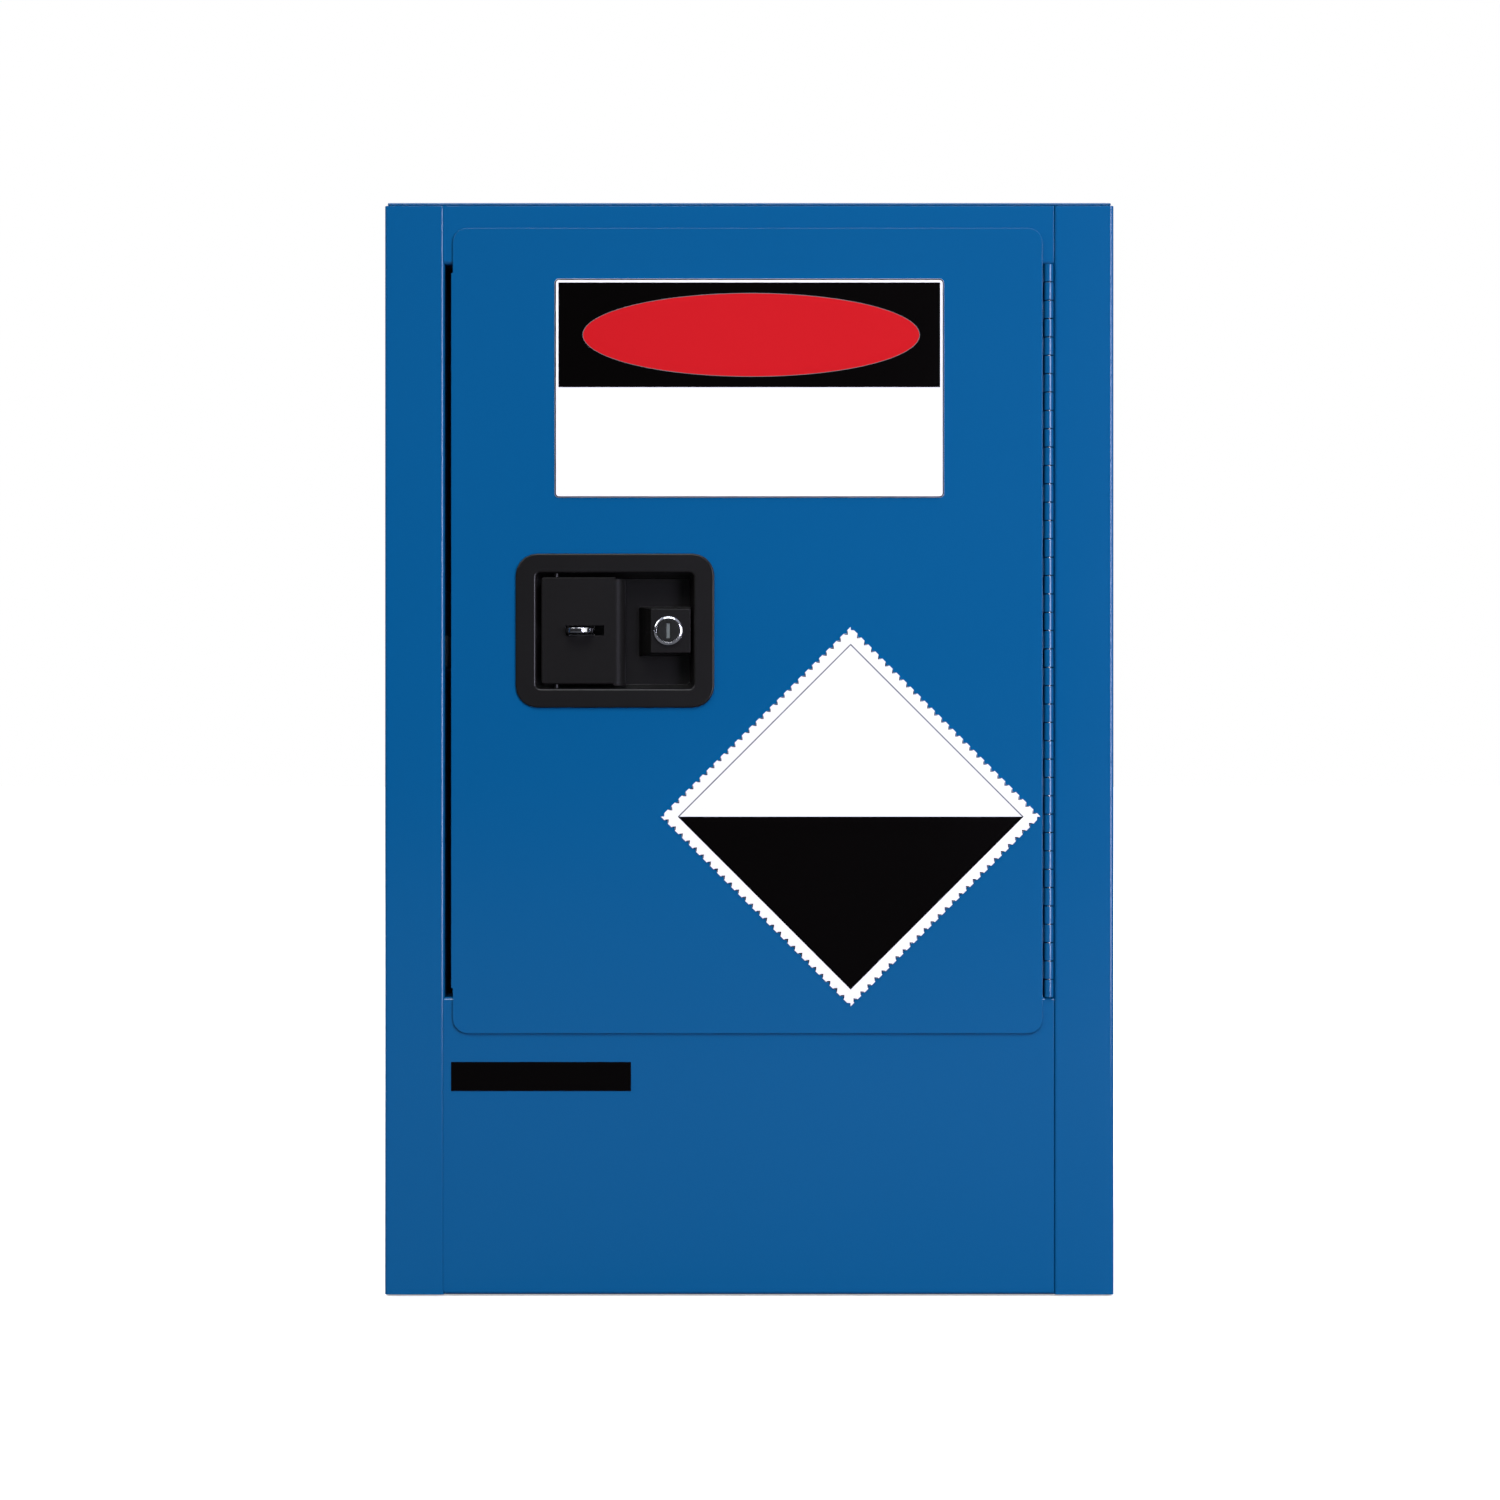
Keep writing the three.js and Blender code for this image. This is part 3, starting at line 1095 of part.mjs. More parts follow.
function lockNut() {
  return cut(
    bar('y', LOCK_X, HANDLE_Z, LOCK_NUT_RADIUS, TUB_BACK, TUB_BACK + LOCK_NUT_HEIGHT, 6),
    bar('y', LOCK_X, HANDLE_Z, BARREL_BODY_RADIUS + FIT,
      TUB_BACK - OVERRUN, TUB_BACK + LOCK_NUT_HEIGHT + OVERRUN, FINE_SIDES),
  );
}

function lockPlug() {
  const face = LOCK_FACE - LOCK_RING_RISE + PLUG_SINK;
  const end = TUB_BACK + BARREL_TAIL;
  const body = join(
    bar('y', LOCK_X, HANDLE_Z, PLUG_RADIUS, face, end, FINE_SIDES),
    bar('y', LOCK_X, HANDLE_Z, PLUG_TAIL_RADIUS, end - OVERRUN, CAM_FACE + CAM_SHEET + FIT),
  );
  const keySlot = block(LOCK_X - KEY_SLOT_WIDTH / 2, LOCK_X + KEY_SLOT_WIDTH / 2,
    face - OVERRUN, face + KEY_SLOT_DEPTH,
    HANDLE_Z - KEY_SLOT_HEIGHT / 2, HANDLE_Z + KEY_SLOT_HEIGHT / 2);
  return cut(body, keySlot);
}

function lockCam() {
  const half = CAM_WIDTH / 2;
  const outline = [
    ...arc(LOCK_X, HANDLE_Z, half, Math.PI, 2 * Math.PI, CORNER_STEPS),
    new THREE.Vector2(LOCK_X + half, HANDLE_Z + CAM_LENGTH),
    new THREE.Vector2(LOCK_X - half, HANDLE_Z + CAM_LENGTH),
  ];
  const hole = circle(LOCK_X, HANDLE_Z, PLUG_TAIL_RADIUS + FIT, SMALL_SIDES);
  return sweep(outline, 'y', CAM_FACE, CAM_FACE + CAM_SHEET, [hole]);
}

// Placards and label
function upperPlacard() {
  const outline = roundedRectangle(-UPPER_WIDTH / 2, UPPER_WIDTH / 2,
    PLACARD_BOTTOM, PLACARD_BOTTOM + UPPER_HEIGHT, UPPER_CORNER);
  return sweep(outline, 'y', DOOR_FACE - PLACARD_SHEET, DOOR_FACE);
}

// A square on its corner, each side cut into teeth between the full corners.
function diamondPlacard() {
  const corners = [0, 1, 2, 3].map((i) => new THREE.Vector2(DIAMOND_HALF, 0)
    .rotateAround(new THREE.Vector2(), i * Math.PI / 2));
  const outline = [];
  corners.forEach((corner, i) => {
    const next = corners[(i + 1) % corners.length];
    const inward = corner.clone().add(next).normalize().negate();
    for (let tooth = 0; tooth < DIAMOND_TEETH; tooth += 1) {
      const along = (share) => corner.clone().lerp(next, (tooth + share) / DIAMOND_TEETH);
      outline.push(along(0));
      outline.push(along(1 / 2));
      outline.push(along(3 / 4).addScaledVector(inward, DIAMOND_TOOTH / 2));
    }
  });
  const place = new THREE.Vector2(DIAMOND_X, DIAMOND_Z);
  return sweep(outline.map((point) => point.add(place)), 'y', DOOR_FACE - PLACARD_SHEET, DOOR_FACE);
}

function capacityLabel() {
  const left = -OPENING + LABEL_INSET;
  const middle = SILL - LABEL_DROP;
  return block(left, left + LABEL_WIDTH, RAIL_FACE - LABEL_SHEET, RAIL_FACE,
    middle - LABEL_HEIGHT / 2, middle + LABEL_HEIGHT / 2);
}

// The body
addPiece(cabinet, 'left_side_panel', sidePanel(-1, VENT_HIGH), bluePaint);
addPiece(cabinet, 'right_side_panel', sidePanel(1, VENT_LOW), bluePaint);
addPiece(cabinet, 'top_panel', topPanel(), bluePaint);
addPiece(cabinet, 'back_panel', backPanel(), bluePaint);
addPiece(cabinet, 'base_panel', basePanel(), bluePaint);
addPiece(cabinet, 'front_top_rail', frontTopRail(), bluePaint);
addPiece(cabinet, 'front_bottom_panel', frontBottomPanel(), bluePaint);
addPiece(cabinet, 'liner_left', linerWall(-1, VENT_HIGH), bluePaint);
addPiece(cabinet, 'liner_right', linerWall(1, VENT_LOW), bluePaint);
addPiece(cabinet, 'liner_back', linerBack(), bluePaint);
addPiece(cabinet, 'liner_top', linerTop(), bluePaint);
addPiece(cabinet, 'sump_pan', sumpPan(), bluePaint);
addPiece(cabinet, 'sump_tray', sumpTray(), bluePlastic);
addPiece(cabinet, 'shelf', shelf(), galvanised);
addPiece(cabinet, 'shelf_tray', shelfTray(), bluePlastic);
for (const [place, x, y] of FOOT_PLACES) {
  addPiece(cabinet, `foot_${place}`, foot(), zincPlate, x, y, 0);
}
for (const [name, side] of [['left', -1], ['right', 1]]) {
  CLIP_PLACES.forEach((y, i) => {
    const end = i === 0 ? 'front' : 'rear';
    addPiece(cabinet, `shelf_clip_${end}_${name}`, shelfClip(side), galvanised, 0, y, SLOT_Z);
  });
}
addPiece(cabinet, 'top_strike', strike(TOP_ROD_X, HEAD + SHEET), stainless);
addPiece(cabinet, 'bottom_strike', strike(BOTTOM_ROD_X, SILL - SHEET - STRIKE_SHEET), stainless);
addPiece(cabinet, 'hinge_frame_leaf', hingeLeaf(OPENING - HINGE_LEAF, OPENING, 0), bluePaint);
addPiece(cabinet, 'hinge_pin', hingePin(), stainless);
addPiece(cabinet, 'capacity_label', capacityLabel(), labelBlack);

// The vents, each drawn outwards along X and turned about Z on the left side
function addVent(name, side, z) {
  const vent = new THREE.Group();
  vent.position.set(side * OPENING, REAR - VENT_SETBACK, z);
  vent.rotation.z = side > 0 ? 0 : Math.PI;
  cabinet.add(vent);
  addPiece(vent, `vent_collar_${name}`, ventCollar(), zincPlate);
  addPiece(vent, `vent_arrester_${name}`, ventArrester(), stainless);
  addPiece(vent, `vent_cap_${name}`, ventCap(), bluePaint, SIDE_WALL, 0, 0);
}
addVent('left', -1, VENT_HIGH);
addVent('right', 1, VENT_LOW);

// The door and what it carries
addPiece(door, 'door_outer_skin', doorOuterSkin(), bluePaint);
addPiece(door, 'door_inner_skin', doorInnerSkin(), bluePaint);
addPiece(door, 'hinge_door_leaf', hingeLeaf(DOOR_RIGHT, DOOR_RIGHT + HINGE_LEAF, 1), bluePaint);
addPiece(door, 'upper_placard', upperPlacard(), placardWhite);
addPiece(door, 'diamond_placard', diamondPlacard(), placardWhite);
addPiece(door, 'latch_housing', latchHousing(), blackCasting);
addPiece(door, 'housing_gasket', housingGasket(), blackRubber);
addPiece(door, 'latch_bracket', latchBracket(), zincPlate);
addPiece(door, 'bracket_screw', bracketScrew(), zincPlate);
addPiece(door, 'hasp', hasp(), stainless);
addPiece(door, 'paddle_pin', paddlePin(), stainless);
addPiece(door, 'paddle_spring', paddleSpring(), stainless);
addPiece(door, 'lock_barrel', lockBarrel(), chrome);
addPiece(door, 'lock_nut', lockNut(), zincPlate);
addPiece(door, 'rod_guide_top', rodGuide(1), nylon, TOP_ROD_X, ROD_Y, BOX_TOP - SHEET);
addPiece(door, 'rod_guide_bottom', rodGuide(-1), nylon, BOTTOM_ROD_X, ROD_Y, BOX_BOTTOM + SHEET);
addPiece(paddleGroup, 'paddle', paddle(), blackCasting);
addPiece(door, 'rotor', rotor(), zincPlate);
addPiece(door, 'top_rod', lockingRod(1, TOP_ROD_X, HEAD - BOLT_GAP), zincPlate);
addPiece(door, 'bottom_rod', lockingRod(-1, BOTTOM_ROD_X, SILL + BOLT_GAP), zincPlate);
addPiece(door, 'lock_plug', lockPlug(), labelBlack);
addPiece(door, 'lock_cam', lockCam(), zincPlate);

export default cabinet;
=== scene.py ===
# A small corrosive storage cabinet: the finish of every surface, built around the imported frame.
# Metres, +Z up, the door faces -Y, the hinge is on the +X side.
import json
import math

import bpy
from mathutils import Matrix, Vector
from mathutils.geometry import delaunay_2d_cdt


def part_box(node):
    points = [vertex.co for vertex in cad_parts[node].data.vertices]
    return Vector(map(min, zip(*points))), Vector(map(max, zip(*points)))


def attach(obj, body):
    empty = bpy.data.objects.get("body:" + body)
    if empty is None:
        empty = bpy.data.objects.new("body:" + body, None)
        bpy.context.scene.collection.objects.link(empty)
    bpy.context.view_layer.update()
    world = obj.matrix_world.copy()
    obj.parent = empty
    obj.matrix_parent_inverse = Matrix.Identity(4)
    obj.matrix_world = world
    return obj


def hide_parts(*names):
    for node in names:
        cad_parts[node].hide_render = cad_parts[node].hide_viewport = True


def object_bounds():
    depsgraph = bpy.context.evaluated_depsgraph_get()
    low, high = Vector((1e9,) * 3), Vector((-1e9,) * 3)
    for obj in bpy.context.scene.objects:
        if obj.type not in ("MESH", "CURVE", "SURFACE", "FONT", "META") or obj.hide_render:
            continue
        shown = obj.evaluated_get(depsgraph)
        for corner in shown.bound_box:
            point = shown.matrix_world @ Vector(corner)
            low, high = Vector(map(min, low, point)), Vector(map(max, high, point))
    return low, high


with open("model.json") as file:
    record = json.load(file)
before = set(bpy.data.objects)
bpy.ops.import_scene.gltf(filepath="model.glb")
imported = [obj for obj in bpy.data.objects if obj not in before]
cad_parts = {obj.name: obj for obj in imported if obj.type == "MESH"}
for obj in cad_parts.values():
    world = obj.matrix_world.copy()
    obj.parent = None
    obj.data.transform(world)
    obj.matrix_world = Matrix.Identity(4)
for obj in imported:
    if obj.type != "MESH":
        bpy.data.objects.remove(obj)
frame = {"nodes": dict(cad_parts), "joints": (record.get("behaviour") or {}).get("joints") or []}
cad_low, cad_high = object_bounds()
nodes = frame["nodes"]
MM = 0.001


# The view of the photograph: straight at the door, from the height of the middle of
# the picture, with a long lens. One pixel is 0.6857 mm at the front of the cabinet.
PIXEL = 0.6857 * MM
PICTURE_PIXELS = 1500
MIDDLE_COLUMN = 749.3
FLOOR_ROW = 1296.5
CAMERA_DISTANCE = 2.2
SENSOR_WIDTH = 36.0
CLIP_END = 100.0

front_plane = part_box("left_side_panel")[0].y
camera_data = bpy.data.cameras.new("front_view")
camera_data.sensor_width = SENSOR_WIDTH
camera_data.lens = SENSOR_WIDTH * CAMERA_DISTANCE / (PICTURE_PIXELS * PIXEL)
camera_data.clip_end = CLIP_END
camera = bpy.data.objects.new("front_view", camera_data)
camera.location = (
    (PICTURE_PIXELS / 2 - MIDDLE_COLUMN) * PIXEL,
    front_plane - CAMERA_DISTANCE,
    (FLOOR_ROW - PICTURE_PIXELS / 2) * PIXEL,
)
camera.rotation_euler = (math.pi / 2, 0.0, 0.0)
bpy.context.scene.collection.objects.link(camera)
bpy.context.scene.camera = camera
bpy.context.scene.view_settings.view_transform = "Standard"


# The studio: a white surround, a pale floor, and a sky that is dark at the horizon in
# front, so that the upright paint stays deep, and bright behind, so that the edges shine.
WHITE = (1.0, 1.0, 1.0, 1.0)
# The sky's tones by height, from the horizon up.
SKY = [(0.0, (0.014, 0.014, 0.015, 1.0)), (0.3, (0.1, 0.1, 0.11, 1.0)),
       (0.6, (0.36, 0.37, 0.44, 1.0)), (1.0, (0.52, 0.55, 0.7, 1.0))]
SKY_BEHIND = (0.6, 0.62, 0.85, 1.0)
SKY_TURN = (0.05, 0.45)
FLOOR_HALF = 30.0
FLOOR_PALE = (0.8, 0.8, 0.8, 1.0)
FLOOR_CAST = (0.1, 0.1, 0.1, 1.0)
FLOOR_GLOW_NEAR = 0.45
FLOOR_GLOW_REACH = (0.3, 1.6)
# The upright strip and the card draw the bright lines on the folds and on the hinge.
STRIP_TURN = math.radians(31)
STRIP_DISTANCE = 2.6
STRIP_WIDTH = 0.8
STRIP_POWER = 52.0
STRIP_TINT = (0.8, 0.78, 1.0)
CARD_PLACE = (2.9, -2.4)
CARD_WIDTH = 1.8
CARD_POWER = 10.0
UPRIGHT_FOOT = -0.05
UPRIGHT_HEAD = 1.25
BOX_TINT = (0.97, 0.98, 1.0)
BOX_AIM = (0.0, 0.0, 0.4)
# Soft boxes all round: place, width and height, and power in watts.
SOFT_BOXES = {
    "box_front": ((0.2, -5.8, 6.2), (4.5, 3.4), 350.0),
    "box_left": ((-4.4, 0.6, 6.2), (3.0, 3.0), 120.0),
    "fill_left": ((-4.3, -3.2, 3.3), (2.5, 2.5), 70.0),
    "box_right": ((4.4, 0.6, 6.2), (3.0, 3.0), 120.0),
    "box_back": ((0.4, 4.8, 6.4), (4.0, 3.0), 170.0),
    "fill_back": ((-3.6, 3.6, 3.8), (2.5, 2.5), 140.0),
}


def node_of(tree, kind, **settings):
    node = tree.nodes.new(kind)
    for name, value in settings.items():
        setattr(node, name, value)
    return node


# A mix of two shaders: the second is what the camera sees, the first what all else sees.
def mix_by_camera_ray(tree, cast, seen, output):
    path = node_of(tree, "ShaderNodeLightPath")
    mix = node_of(tree, "ShaderNodeMixShader")
    tree.links.new(path.outputs["Is Camera Ray"], mix.inputs["Fac"])
    tree.links.new(cast, mix.inputs[1])
    tree.links.new(seen, mix.inputs[2])
    tree.links.new(mix.outputs[0], output.inputs["Surface"])


# What the sky casts: tones that rise with the height, and one bright tone behind.
def sky_colour(tree):
    place = node_of(tree, "ShaderNodeTexCoord")
    split = node_of(tree, "ShaderNodeSeparateXYZ")
    tree.links.new(place.outputs["Generated"], split.inputs[0])
    ramp = node_of(tree, "ShaderNodeValToRGB")
    stops = ramp.color_ramp.elements
    stops[0].color = SKY[0][1]
    stops[1].color = SKY[-1][1]
    for height, colour in SKY[1:-1]:
        stops.new(height).color = colour
    tree.links.new(split.outputs["Z"], ramp.inputs["Fac"])
    behind = node_of(tree, "ShaderNodeMapRange", interpolation_type="SMOOTHSTEP")
    behind.inputs["From Min"].default_value = SKY_TURN[0]
    behind.inputs["From Max"].default_value = SKY_TURN[1]
    tree.links.new(split.outputs["Y"], behind.inputs["Value"])
    mix = node_of(tree, "ShaderNodeMix", data_type="RGBA")
    mix.inputs["B"].default_value = SKY_BEHIND
    tree.links.new(behind.outputs["Result"], mix.inputs["Factor"])
    tree.links.new(ramp.outputs["Color"], mix.inputs["A"])
    return mix.outputs["Result"]


def make_sky():
    world = bpy.data.worlds.new("studio_sky")
    world.use_nodes = True
    tree = world.node_tree
    tree.nodes.clear()
    output = node_of(tree, "ShaderNodeOutputWorld")
    seen = node_of(tree, "ShaderNodeBackground")
    seen.inputs["Color"].default_value = WHITE
    cast = node_of(tree, "ShaderNodeBackground")
    tree.links.new(sky_colour(tree), cast.inputs["Color"])
    mix_by_camera_ray(tree, cast.outputs[0], seen.outputs[0], output)
    bpy.context.scene.world = world


def soft_light(name, place, target, size, power, tint=BOX_TINT):
    data = bpy.data.lights.new(name, "AREA")
    data.shape = "RECTANGLE"
    data.size, data.size_y = size
    data.energy = power
    data.color = tint
    light = bpy.data.objects.new(name, data)
    light.location = place
    aim = Vector(target) - Vector(place)
    light.rotation_euler = aim.to_track_quat("-Z", "Y").to_euler()
    light.visible_camera = False
    bpy.context.scene.collection.objects.link(light)
    return light


# An upright light in two parts that meet at the height of the lid. Gives the upper one,
# which the lid would mirror from behind as a white glare.
def upright_light(name, place, width, power, tint):
    lid = cad_high[2]
    for part, foot, head in (("low", UPRIGHT_FOOT, lid), ("high", lid, UPRIGHT_HEAD)):
        height = (foot + head) / 2
        share = (head - foot) / (UPRIGHT_HEAD - UPRIGHT_FOOT)
        light = soft_light(name + "_" + part, (*place, height), (0.0, front_plane, height),
                           (width, head - foot), power * share, tint)
    return light


# A flag: it keeps a light off one piece.
def flag(light, piece):
    shaded = bpy.data.collections.new(light.name + "_flag")
    shaded.objects.link(piece)
    shaded.collection_objects[0].light_linking.link_state = "EXCLUDE"
    light.light_linking.receiver_collection = shaded


# The floor glows more with its distance, so that it runs out into the white surround.
def floor_glow(tree):
    glow = node_of(tree, "ShaderNodeEmission")
    place = node_of(tree, "ShaderNodeTexCoord")
    reach = node_of(tree, "ShaderNodeVectorMath", operation="LENGTH")
    tree.links.new(place.outputs["Object"], reach.inputs[0])
    fade = node_of(tree, "ShaderNodeMapRange", interpolation_type="SMOOTHSTEP")
    fade.inputs["From Min"].default_value = FLOOR_GLOW_REACH[0]
    fade.inputs["From Max"].default_value = FLOOR_GLOW_REACH[1]
    fade.inputs["To Min"].default_value = FLOOR_GLOW_NEAR
    tree.links.new(reach.outputs["Value"], fade.inputs["Value"])
    tree.links.new(fade.outputs["Result"], glow.inputs["Strength"])
    return glow.outputs[0]


def floor_material():
    material = bpy.data.materials.new("pale_floor")
    material.use_nodes = True
    tree = material.node_tree
    tree.nodes.clear()
    output = node_of(tree, "ShaderNodeOutputMaterial")
    cast = node_of(tree, "ShaderNodeBsdfDiffuse")
    cast.inputs["Color"].default_value = FLOOR_CAST
    pale = node_of(tree, "ShaderNodeBsdfDiffuse")
    pale.inputs["Color"].default_value = FLOOR_PALE
    both = node_of(tree, "ShaderNodeAddShader")
    tree.links.new(pale.outputs[0], both.inputs[0])
    tree.links.new(floor_glow(tree), both.inputs[1])
    mix_by_camera_ray(tree, cast.outputs[0], both.outputs[0], output)
    return material


def make_floor():
    mesh = bpy.data.meshes.new("floor")
    corners = [(-1, -1), (1, -1), (1, 1), (-1, 1)]
    mesh.from_pydata([(x * FLOOR_HALF, y * FLOOR_HALF, 0.0) for x, y in corners], [],
                     [(0, 1, 2, 3)])
    mesh.materials.append(floor_material())
    floor = bpy.data.objects.new("floor", mesh)
    bpy.context.scene.collection.objects.link(floor)


strip_place = (STRIP_DISTANCE * math.sin(STRIP_TURN),
               front_plane - STRIP_DISTANCE * math.cos(STRIP_TURN))
make_sky()
make_floor()
upper_strip = upright_light("strip_right", strip_place, STRIP_WIDTH, STRIP_POWER, STRIP_TINT)
upper_card = upright_light("card_right", CARD_PLACE, CARD_WIDTH, CARD_POWER, BOX_TINT)
for box, (place, size, power) in SOFT_BOXES.items():
    soft_light(box, place, BOX_AIM, size, power)


# The folded steel sheets of the body: side panels with their front flanges and jambs,
# lid, back, base, top rail and lower front panel. Cold-rolled sheet, 1.2 mm thick and
# 2 mm in the lid, spot welded, then sprayed with blue polyester powder and baked.
PEEL_SIZE = 1.6 * MM
CLOUD_SIZE = 160 * MM
PEEL_NOISE = {"detail": 2.0, "roughness": 0.45}
CLOUD_NOISE = {"detail": 3.0, "roughness": 0.5}
SKIN_BUMP = 0.35
PAINT_BLUE = {
    "dark": (0.0012, 0.0920, 0.243, 1.0), "light": (0.0016, 0.0952, 0.251, 1.0),
    "peel_size": PEEL_SIZE, "peel_depth": 0.012 * MM}
BODY_SHINE = {"gloss": (0.11, 0.15), "specular": 0.45}
WALL_SHINE = {"gloss": (0.24, 0.30), "specular": 0.04}
WALL_NORMAL = 0.999
FOLD_ROUNDING = 0.35 * MM
LID_ROUNDING = 0.9 * MM
SHARP_EDGE = math.radians(35)
FLAT_ANGLE = math.radians(0.5)
WELD = 0.02 * MM
NORMAL_WEIGHT = 50


def new_group(name, inputs, outputs):
    group = bpy.data.node_groups.new(name, "ShaderNodeTree")
    for label, kind, value in inputs:
        socket = group.interface.new_socket(name=label, in_out="INPUT", socket_type=kind)
        socket.default_value = value
    for label, kind in outputs:
        group.interface.new_socket(name=label, in_out="OUTPUT", socket_type=kind)
    return group, node_of(group, "NodeGroupInput"), node_of(group, "NodeGroupOutput")


# Noise whose grains have a size in metres: the place is divided by that size.
def sized_noise(tree, size_socket, place_socket, detail, roughness):
    share = node_of(tree, "ShaderNodeVectorMath", operation="DIVIDE")
    tree.links.new(place_socket, share.inputs[0])
    tree.links.new(size_socket, share.inputs[1])
    noise = node_of(tree, "ShaderNodeTexNoise")
    noise.inputs["Scale"].default_value = 1.0
    noise.inputs["Detail"].default_value = detail
    noise.inputs["Roughness"].default_value = roughness
    tree.links.new(share.outputs["Vector"], noise.inputs["Vector"])
    return noise.outputs["Fac"]


# Orange peel of a baked or moulded skin, and the slow clouds of its gloss.
def make_skin_texture():
    group, given, out = new_group(
        "skin_texture",
        [("Peel Size", "NodeSocketVector", (PEEL_SIZE,) * 3),
         ("Cloud Size", "NodeSocketVector", (CLOUD_SIZE,) * 3)],
        [("Height", "NodeSocketFloat"), ("Cloud", "NodeSocketFloat")])
    place = node_of(group, "ShaderNodeTexCoord").outputs["Object"]
    peel = sized_noise(group, given.outputs["Peel Size"], place, **PEEL_NOISE)
    cloud = sized_noise(group, given.outputs["Cloud Size"], place, **CLOUD_NOISE)
    group.links.new(peel, out.inputs["Height"])
    group.links.new(cloud, out.inputs["Cloud"])
    return group


skin_texture = make_skin_texture()


def blank_material(name):
    material = bpy.data.materials.new(name)
    material.use_nodes = True
    return material, material.node_tree, material.node_tree.nodes["Principled BSDF"]


def between(tree, mask, low, high):
    spread = node_of(tree, "ShaderNodeMapRange")
    spread.inputs["To Min"].default_value = low
    spread.inputs["To Max"].default_value = high
    tree.links.new(mask, spread.inputs["Value"])
    return spread.outputs["Result"]


def colours_between(tree, mask, low, high):
    mix = node_of(tree, "ShaderNodeMix", data_type="RGBA")
    mix.inputs["A"].default_value = low
    mix.inputs["B"].default_value = high
    tree.links.new(mask, mix.inputs["Factor"])
    return mix.outputs["Result"]


def bump_from(tree, height, depth, strength):
    bump = node_of(tree, "ShaderNodeBump")
    bump.inputs["Distance"].default_value = depth
    bump.inputs["Strength"].default_value = strength
    tree.links.new(height, bump.inputs["Height"])
    return bump.outputs["Normal"]


# A sprayed, moulded or printed skin: two near colours in slow clouds, a gloss that
# drifts with them, and orange peel.
def skin_material(name, dark, light, gloss, specular, peel_size, peel_depth,
                  cloud_size=CLOUD_SIZE):
    material, tree, shader = blank_material(name)
    skin = node_of(tree, "ShaderNodeGroup", node_tree=skin_texture)
    skin.inputs["Peel Size"].default_value = (peel_size,) * 3
    skin.inputs["Cloud Size"].default_value = (cloud_size,) * 3
    tree.links.new(
        colours_between(tree, skin.outputs["Cloud"], dark, light), shader.inputs["Base Color"])
    tree.links.new(
        between(tree, skin.outputs["Cloud"], gloss[0], gloss[1]), shader.inputs["Roughness"])
    tree.links.new(
        bump_from(tree, skin.outputs["Height"], peel_depth, SKIN_BUMP), shader.inputs["Normal"])
    shader.inputs["Specular IOR Level"].default_value = specular
    return material


blue_powder = skin_material("blue_powder_coat", **PAINT_BLUE, **BODY_SHINE)


# Rounds the hard edges of a piece, as folding, tumbling and paint do.
def round_edges(piece, rounding, steps=2):
    for face in piece.data.polygons:
        face.use_smooth = True
    weld = piece.modifiers.new("weld", "WELD")
    weld.merge_threshold = WELD
    flat = piece.modifiers.new("flat_faces", "DECIMATE")
    flat.decimate_type = "DISSOLVE"
    flat.angle_limit = FLAT_ANGLE
    bevel = piece.modifiers.new("rounded_edges", "BEVEL")
    bevel.width = rounding
    bevel.segments = steps
    bevel.limit_method = "ANGLE"
    bevel.angle_limit = SHARP_EDGE
    bevel.use_clamp_overlap = False
    normals = piece.modifiers.new("flat_normals", "WEIGHTED_NORMAL")
    normals.mode = "FACE_AREA"
    normals.weight = NORMAL_WEIGHT
    normals.keep_sharp = False


# Gives a carried-over piece its finish and its rounded edges.
def dress(name, material, rounding=FOLD_ROUNDING, steps=2):
    piece = nodes[name]
    piece.data.materials.clear()
    piece.data.materials.append(material)
    round_edges(piece, rounding, steps)


# The same coat on a big outer wall, with less shine: seen from behind, a wall this flat
# would mirror the upright strip as one white patch.
blue_wall_powder = skin_material("blue_powder_coat_wall", **PAINT_BLUE, **WALL_SHINE)


def dull_wall(name, side):
    mesh = nodes[name].data
    mesh.materials.append(blue_wall_powder)
    for face in mesh.polygons:
        if face.normal.x * side > WALL_NORMAL:
            face.material_index = len(mesh.materials) - 1


for name in ("left_side_panel", "right_side_panel", "back_panel", "base_panel",
             "front_top_rail", "front_bottom_panel"):
    dress(name, blue_powder)
dress("top_panel", blue_powder, LID_ROUNDING, 3)
dull_wall("left_side_panel", -1)
dull_wall("right_side_panel", 1)
flag(upper_strip, nodes["top_panel"])
flag(upper_card, nodes["top_panel"])


# The two seams where the rails meet the fold of the left flange: the baked powder
# bridges them, level with the flange but for a hair.
OUTER_FOLD = 2.4 * MM
SEAM_DEPTH = 0.02 * MM
BLOCK_FACES = [(0, 2, 3, 1), (4, 5, 7, 6), (0, 1, 5, 4), (2, 6, 7, 3), (0, 4, 6, 2),
               (1, 3, 7, 5)]


# Adds a new mesh piece on a body, with its finish and the nodes that it stands for.
def add_piece(name, vertices, faces, material, body, slot, *replaced):
    mesh = bpy.data.meshes.new(name)
    mesh.from_pydata(vertices, [], faces)
    mesh.materials.append(material)
    piece = bpy.data.objects.new(name, mesh)
    bpy.context.scene.collection.objects.link(piece)
    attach(piece, body)
    if replaced:
        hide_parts(*replaced)
    return piece


def bridge_seam(name, rail, fold_above):
    low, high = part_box(rail)
    foot = low.z + OUTER_FOLD
    head = high.z - fold_above
    vertices = [(x, y, z) for x in (low.x, low.x + OUTER_FOLD)
                for y in (front_plane + SEAM_DEPTH, low.y) for z in (foot, head)]
    add_piece(name, vertices, BLOCK_FACES, blue_powder, "cabinet", "blue_paint")


bridge_seam("top_seam_paint", "front_top_rail", 0.0)
bridge_seam("bottom_seam_paint", "front_bottom_panel", OUTER_FOLD)


